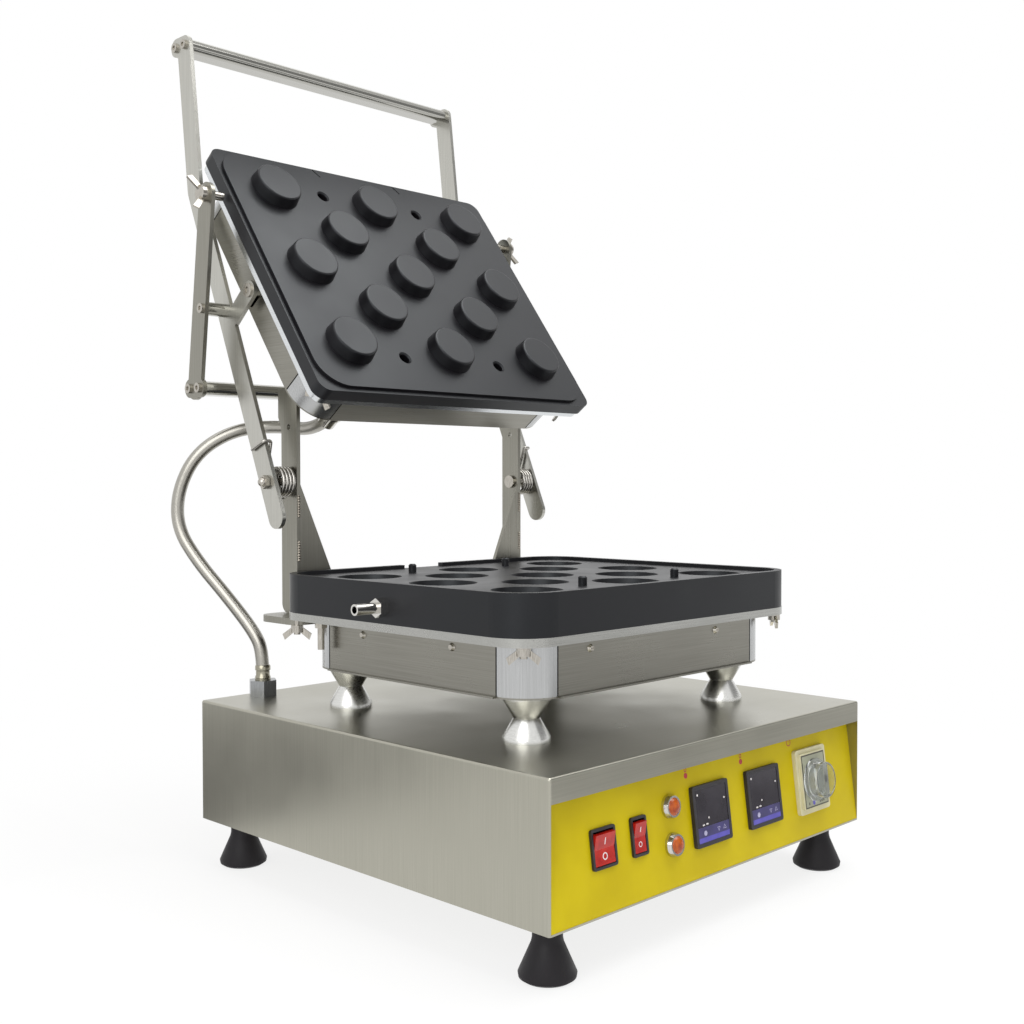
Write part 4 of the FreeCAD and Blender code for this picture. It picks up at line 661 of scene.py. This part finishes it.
controllerMarks = {"places": (("Upper", -15.1), ("Lower", 60.2)),
                   "lightV": 47.0,  # the window's middle, with each light's place from it and its radius
                   "lights": ((-17.5, 17, 0.9), (17.5, 9.5, 0.8), (-5, -2.5, 0.8), (-13.4, -7.2, 0.7),
                              (-12, -7.2, 0.7), (-8.6, -7.0, 0.7), (-7.2, -7.0, 0.7)),
                   "key": (-11.5, 33.4, 2.1, 8),
                   "arrows": ((6.5, 34.0, -math.pi / 2), (14.5, 33.6, math.pi / 2)), "arrow": (2.3, 1.6, 3),
                   "stripeV": 28.4, "stripe": (41.0, 3.8)}
for label, u in controllerMarks["places"]:
    lights = [disc(u + du, controllerMarks["lightV"] + dv, r) for du, dv, r in controllerMarks["lights"]]
    printOn("controllerLights" + label, "controller_windows", lights, inks["white"], "machine_base")
    keyU, keyV, keyRadius, keyCorners = controllerMarks["key"]
    keyMarks = [disc(u + keyU, keyV, keyRadius, keyCorners)]
    keyMarks += [ring(u + du, v, *controllerMarks["arrow"], turn)
                 for du, v, turn in controllerMarks["arrows"]]
    printOn("controllerKeyMarks" + label, "controller_keys", keyMarks, inks["pale"], "machine_base")
    printOn("controllerStripe" + label, "controller_keys",
            [bar(u, controllerMarks["stripeV"], *controllerMarks["stripe"])], inks["violet"],
            "machine_base")

iconSet = {"thermometers": ((-41.0, 83.3), (34.7, 82.2)), "bulb": (-2.6, 2.3),
           "stem": (2.0, 2.2, 1.3, 4, math.pi / 4),
           "clock": (108.5, 84.4, 3.4, 2.6), "hand": (108.5, 85.5, 0.7, 2.2)}
redIcons = []
for u, v in iconSet["thermometers"]:
    bulbRise, bulbRadius = iconSet["bulb"]
    stemRise, *stemShape = iconSet["stem"]
    redIcons += [disc(u, v + bulbRise, bulbRadius), ring(u, v + stemRise, *stemShape)]
redIcons += [ring(*iconSet["clock"]), bar(*iconSet["hand"])]
printOn("panelIcons", "control_panel", redIcons, inks["red"], "machine_base")

timerSet = {"middle": (135.9, 48.0), "height": 5.4, "card": (36.0, 45.0, 3.6), "cardLift": 0.2,
            "border": (37.0, 46.0, 1.1), "tickV": -19.2, "ticks": (-12.5, 5.0, 8.0, 11.0),
            "tick": (1.6, 2.4), "mark": -5.0, "markRadius": 2.0, "inkLift": 0.27}
timerU, timerV = timerSet["middle"]
tickV = timerV + timerSet["tickV"]
# the dark frame round the dial card is painted shadow in the gap round it; the ticks are real print
timerTicksAndShadowGap = [frameOf(timerU, timerV, *timerSet["border"])]
timerTicksAndShadowGap += [bar(timerU + du, tickV, *timerSet["tick"]) for du in timerSet["ticks"]]
timerCard = holedPlate(timerU, timerV, *timerSet["card"])
timerDot = disc(timerU + timerSet["mark"], tickV, timerSet["markRadius"])
for printName, shapes, ink, lift in (
        ("timerCard", [timerCard], finishes["dialFace"], timerSet["cardLift"]),
        ("timerPrintAndShadowGap", timerTicksAndShadowGap, inks["dark"], timerSet["inkLift"]),
        ("timerMark", [timerDot], inks["violet"], timerSet["inkLift"])):
    printOn(printName, timerSet["height"], shapes, ink, "machine_base", lift)
print("controls printed")


# Floor, light and white surroundings

stageSet = {"floor": 4.0, "floorSides": 96, "floorColour": "#f4f4f3", "floorRough": 0.9, "floorWhite": 0.8,
            "fadeFrom": 0.2, "fadeTo": 1.0, "fill": 0.55, "aim": (0, 0, 0.35),
            "lamps": (("keyLamp", (0.45, -0.55, 2.4), 2.0, 36.0),  # name, place, size, power
                      ("fillLamp", (-2.1, -1.0, 1.4), 2.2, 24.0),
                      ("topLamp", (0.1, 0.3, 2.4), 3.0, 14.0)),
            "boards": (("leftBoard", (-0.5, 0.62, 0.001), (0.55, 0.75), (0, 0), 0.26),  # and turn, grey
                       ("frontBoard", (0.6, -0.85, 0.001), (1.0, 0.65), (0, 0), 0.3),
                       ("roomBoard", (1.45, -1.4, 1.15), (2.0, 1.5), (90, 46), 0.3),
                       ("gripBoard", (0.075, 0.21, 0.87), (0.45, 0.11), (0, 0), 0.7))}
white, black = (1, 1, 1, 1), (0, 0, 0, 1)


def seenWhite(tree):  # 1 for rays that show the surroundings, 0 for rays that light the object
    rays = add(tree, "ShaderNodeLightPath")
    some = add(tree, "ShaderNodeMath",
               {0: rays.outputs["Is Camera Ray"], 1: rays.outputs["Is Glossy Ray"]}, operation="MAXIMUM")
    return add(tree, "ShaderNodeMath", {0: some.outputs[0], 1: rays.outputs["Is Transmission Ray"]},
               operation="MAXIMUM").outputs[0]


world = bpy.data.worlds.new("studio")
bpy.context.scene.world = world
world.use_nodes = True
skyTree = world.node_tree
skyTree.nodes.clear()
skyFill = add(skyTree, "ShaderNodeBackground", {"Color": white, "Strength": stageSet["fill"]})
skyWhite = add(skyTree, "ShaderNodeBackground", {"Color": white, "Strength": 1.0})
skyMix = add(skyTree, "ShaderNodeMixShader",
             {0: seenWhite(skyTree), 1: skyFill.outputs[0], 2: skyWhite.outputs[0]})
add(skyTree, "ShaderNodeOutputWorld", {"Surface": skyMix.outputs[0]})

floorBm = bmesh.new()
bmesh.ops.create_circle(floorBm, cap_ends=True, segments=stageSet["floorSides"], radius=stageSet["floor"])
floorMaterial, floorTree, floorShader = newMaterial(
    "paleStudioFloor", **{"Base Color": linear(stageSet["floorColour"]), "Roughness": stageSet["floorRough"]})
floorWhere = add(floorTree, "ShaderNodeTexCoord")
floorRun = add(floorTree, "ShaderNodeVectorMath", {0: floorWhere.outputs["Object"]}, operation="LENGTH")
floorFade = add(floorTree, "ShaderNodeMapRange",
                {"Value": floorRun.outputs["Value"], "From Min": stageSet["fadeFrom"],
                 "From Max": stageSet["fadeTo"], "To Min": stageSet["floorWhite"]},
                interpolation_type="SMOOTHSTEP")
floorSeen = add(floorTree, "ShaderNodeMath", {0: floorFade.outputs[0], 1: seenWhite(floorTree)},
                operation="MULTIPLY")
floorGlow = add(floorTree, "ShaderNodeEmission", {"Color": white, "Strength": 1.0})
floorMix = add(floorTree, "ShaderNodeMixShader",
               {0: floorSeen.outputs[0], 1: floorShader.outputs[0], 2: floorGlow.outputs[0]})
floorOut = next(n for n in floorTree.nodes if n.type == "OUTPUT_MATERIAL")
floorTree.links.new(floorMix.outputs[0], floorOut.inputs["Surface"])
floor = meshPiece("floor", floorBm, floorMaterial, None)

for lampName, lampPlace, lampSize, lampPower in stageSet["lamps"]:
    lampData = bpy.data.lights.new(lampName, "AREA")
    lampData.shape = "DISK"
    lampData.size = lampSize
    lampData.energy = lampPower
    lamp = bpy.data.objects.new(lampName, lampData)
    lamp.location = lampPlace
    lampWay = Vector(stageSet["aim"]) - Vector(lampPlace)
    lamp.rotation_euler = lampWay.to_track_quat("-Z", "Y").to_euler()
    bpy.context.scene.collection.objects.link(lamp)

for boardName, boardPlace, boardSize, (tip, spin), boardGrey in stageSet["boards"]:
    boardBm = bmesh.new()
    bmesh.ops.create_grid(boardBm, x_segments=1, y_segments=1, size=0.5)
    boardMaterial = newMaterial(boardName + "Grey", **{"Base Color": black, "Roughness": 1.0,
                                                       "Emission Color": white,
                                                       "Emission Strength": boardGrey})[0]
    board = meshPiece(boardName, boardBm, boardMaterial, None)
    board.location = boardPlace
    board.scale = (*boardSize, 1.0)
    board.rotation_euler = (math.radians(tip), 0.0, math.radians(spin))
    board.visible_camera = board.visible_diffuse = False  # only reflections in metal show the boards
    board.visible_shadow = board.visible_transmission = False
bpy.context.scene.view_settings.view_transform = "Standard"
print("stage lit")
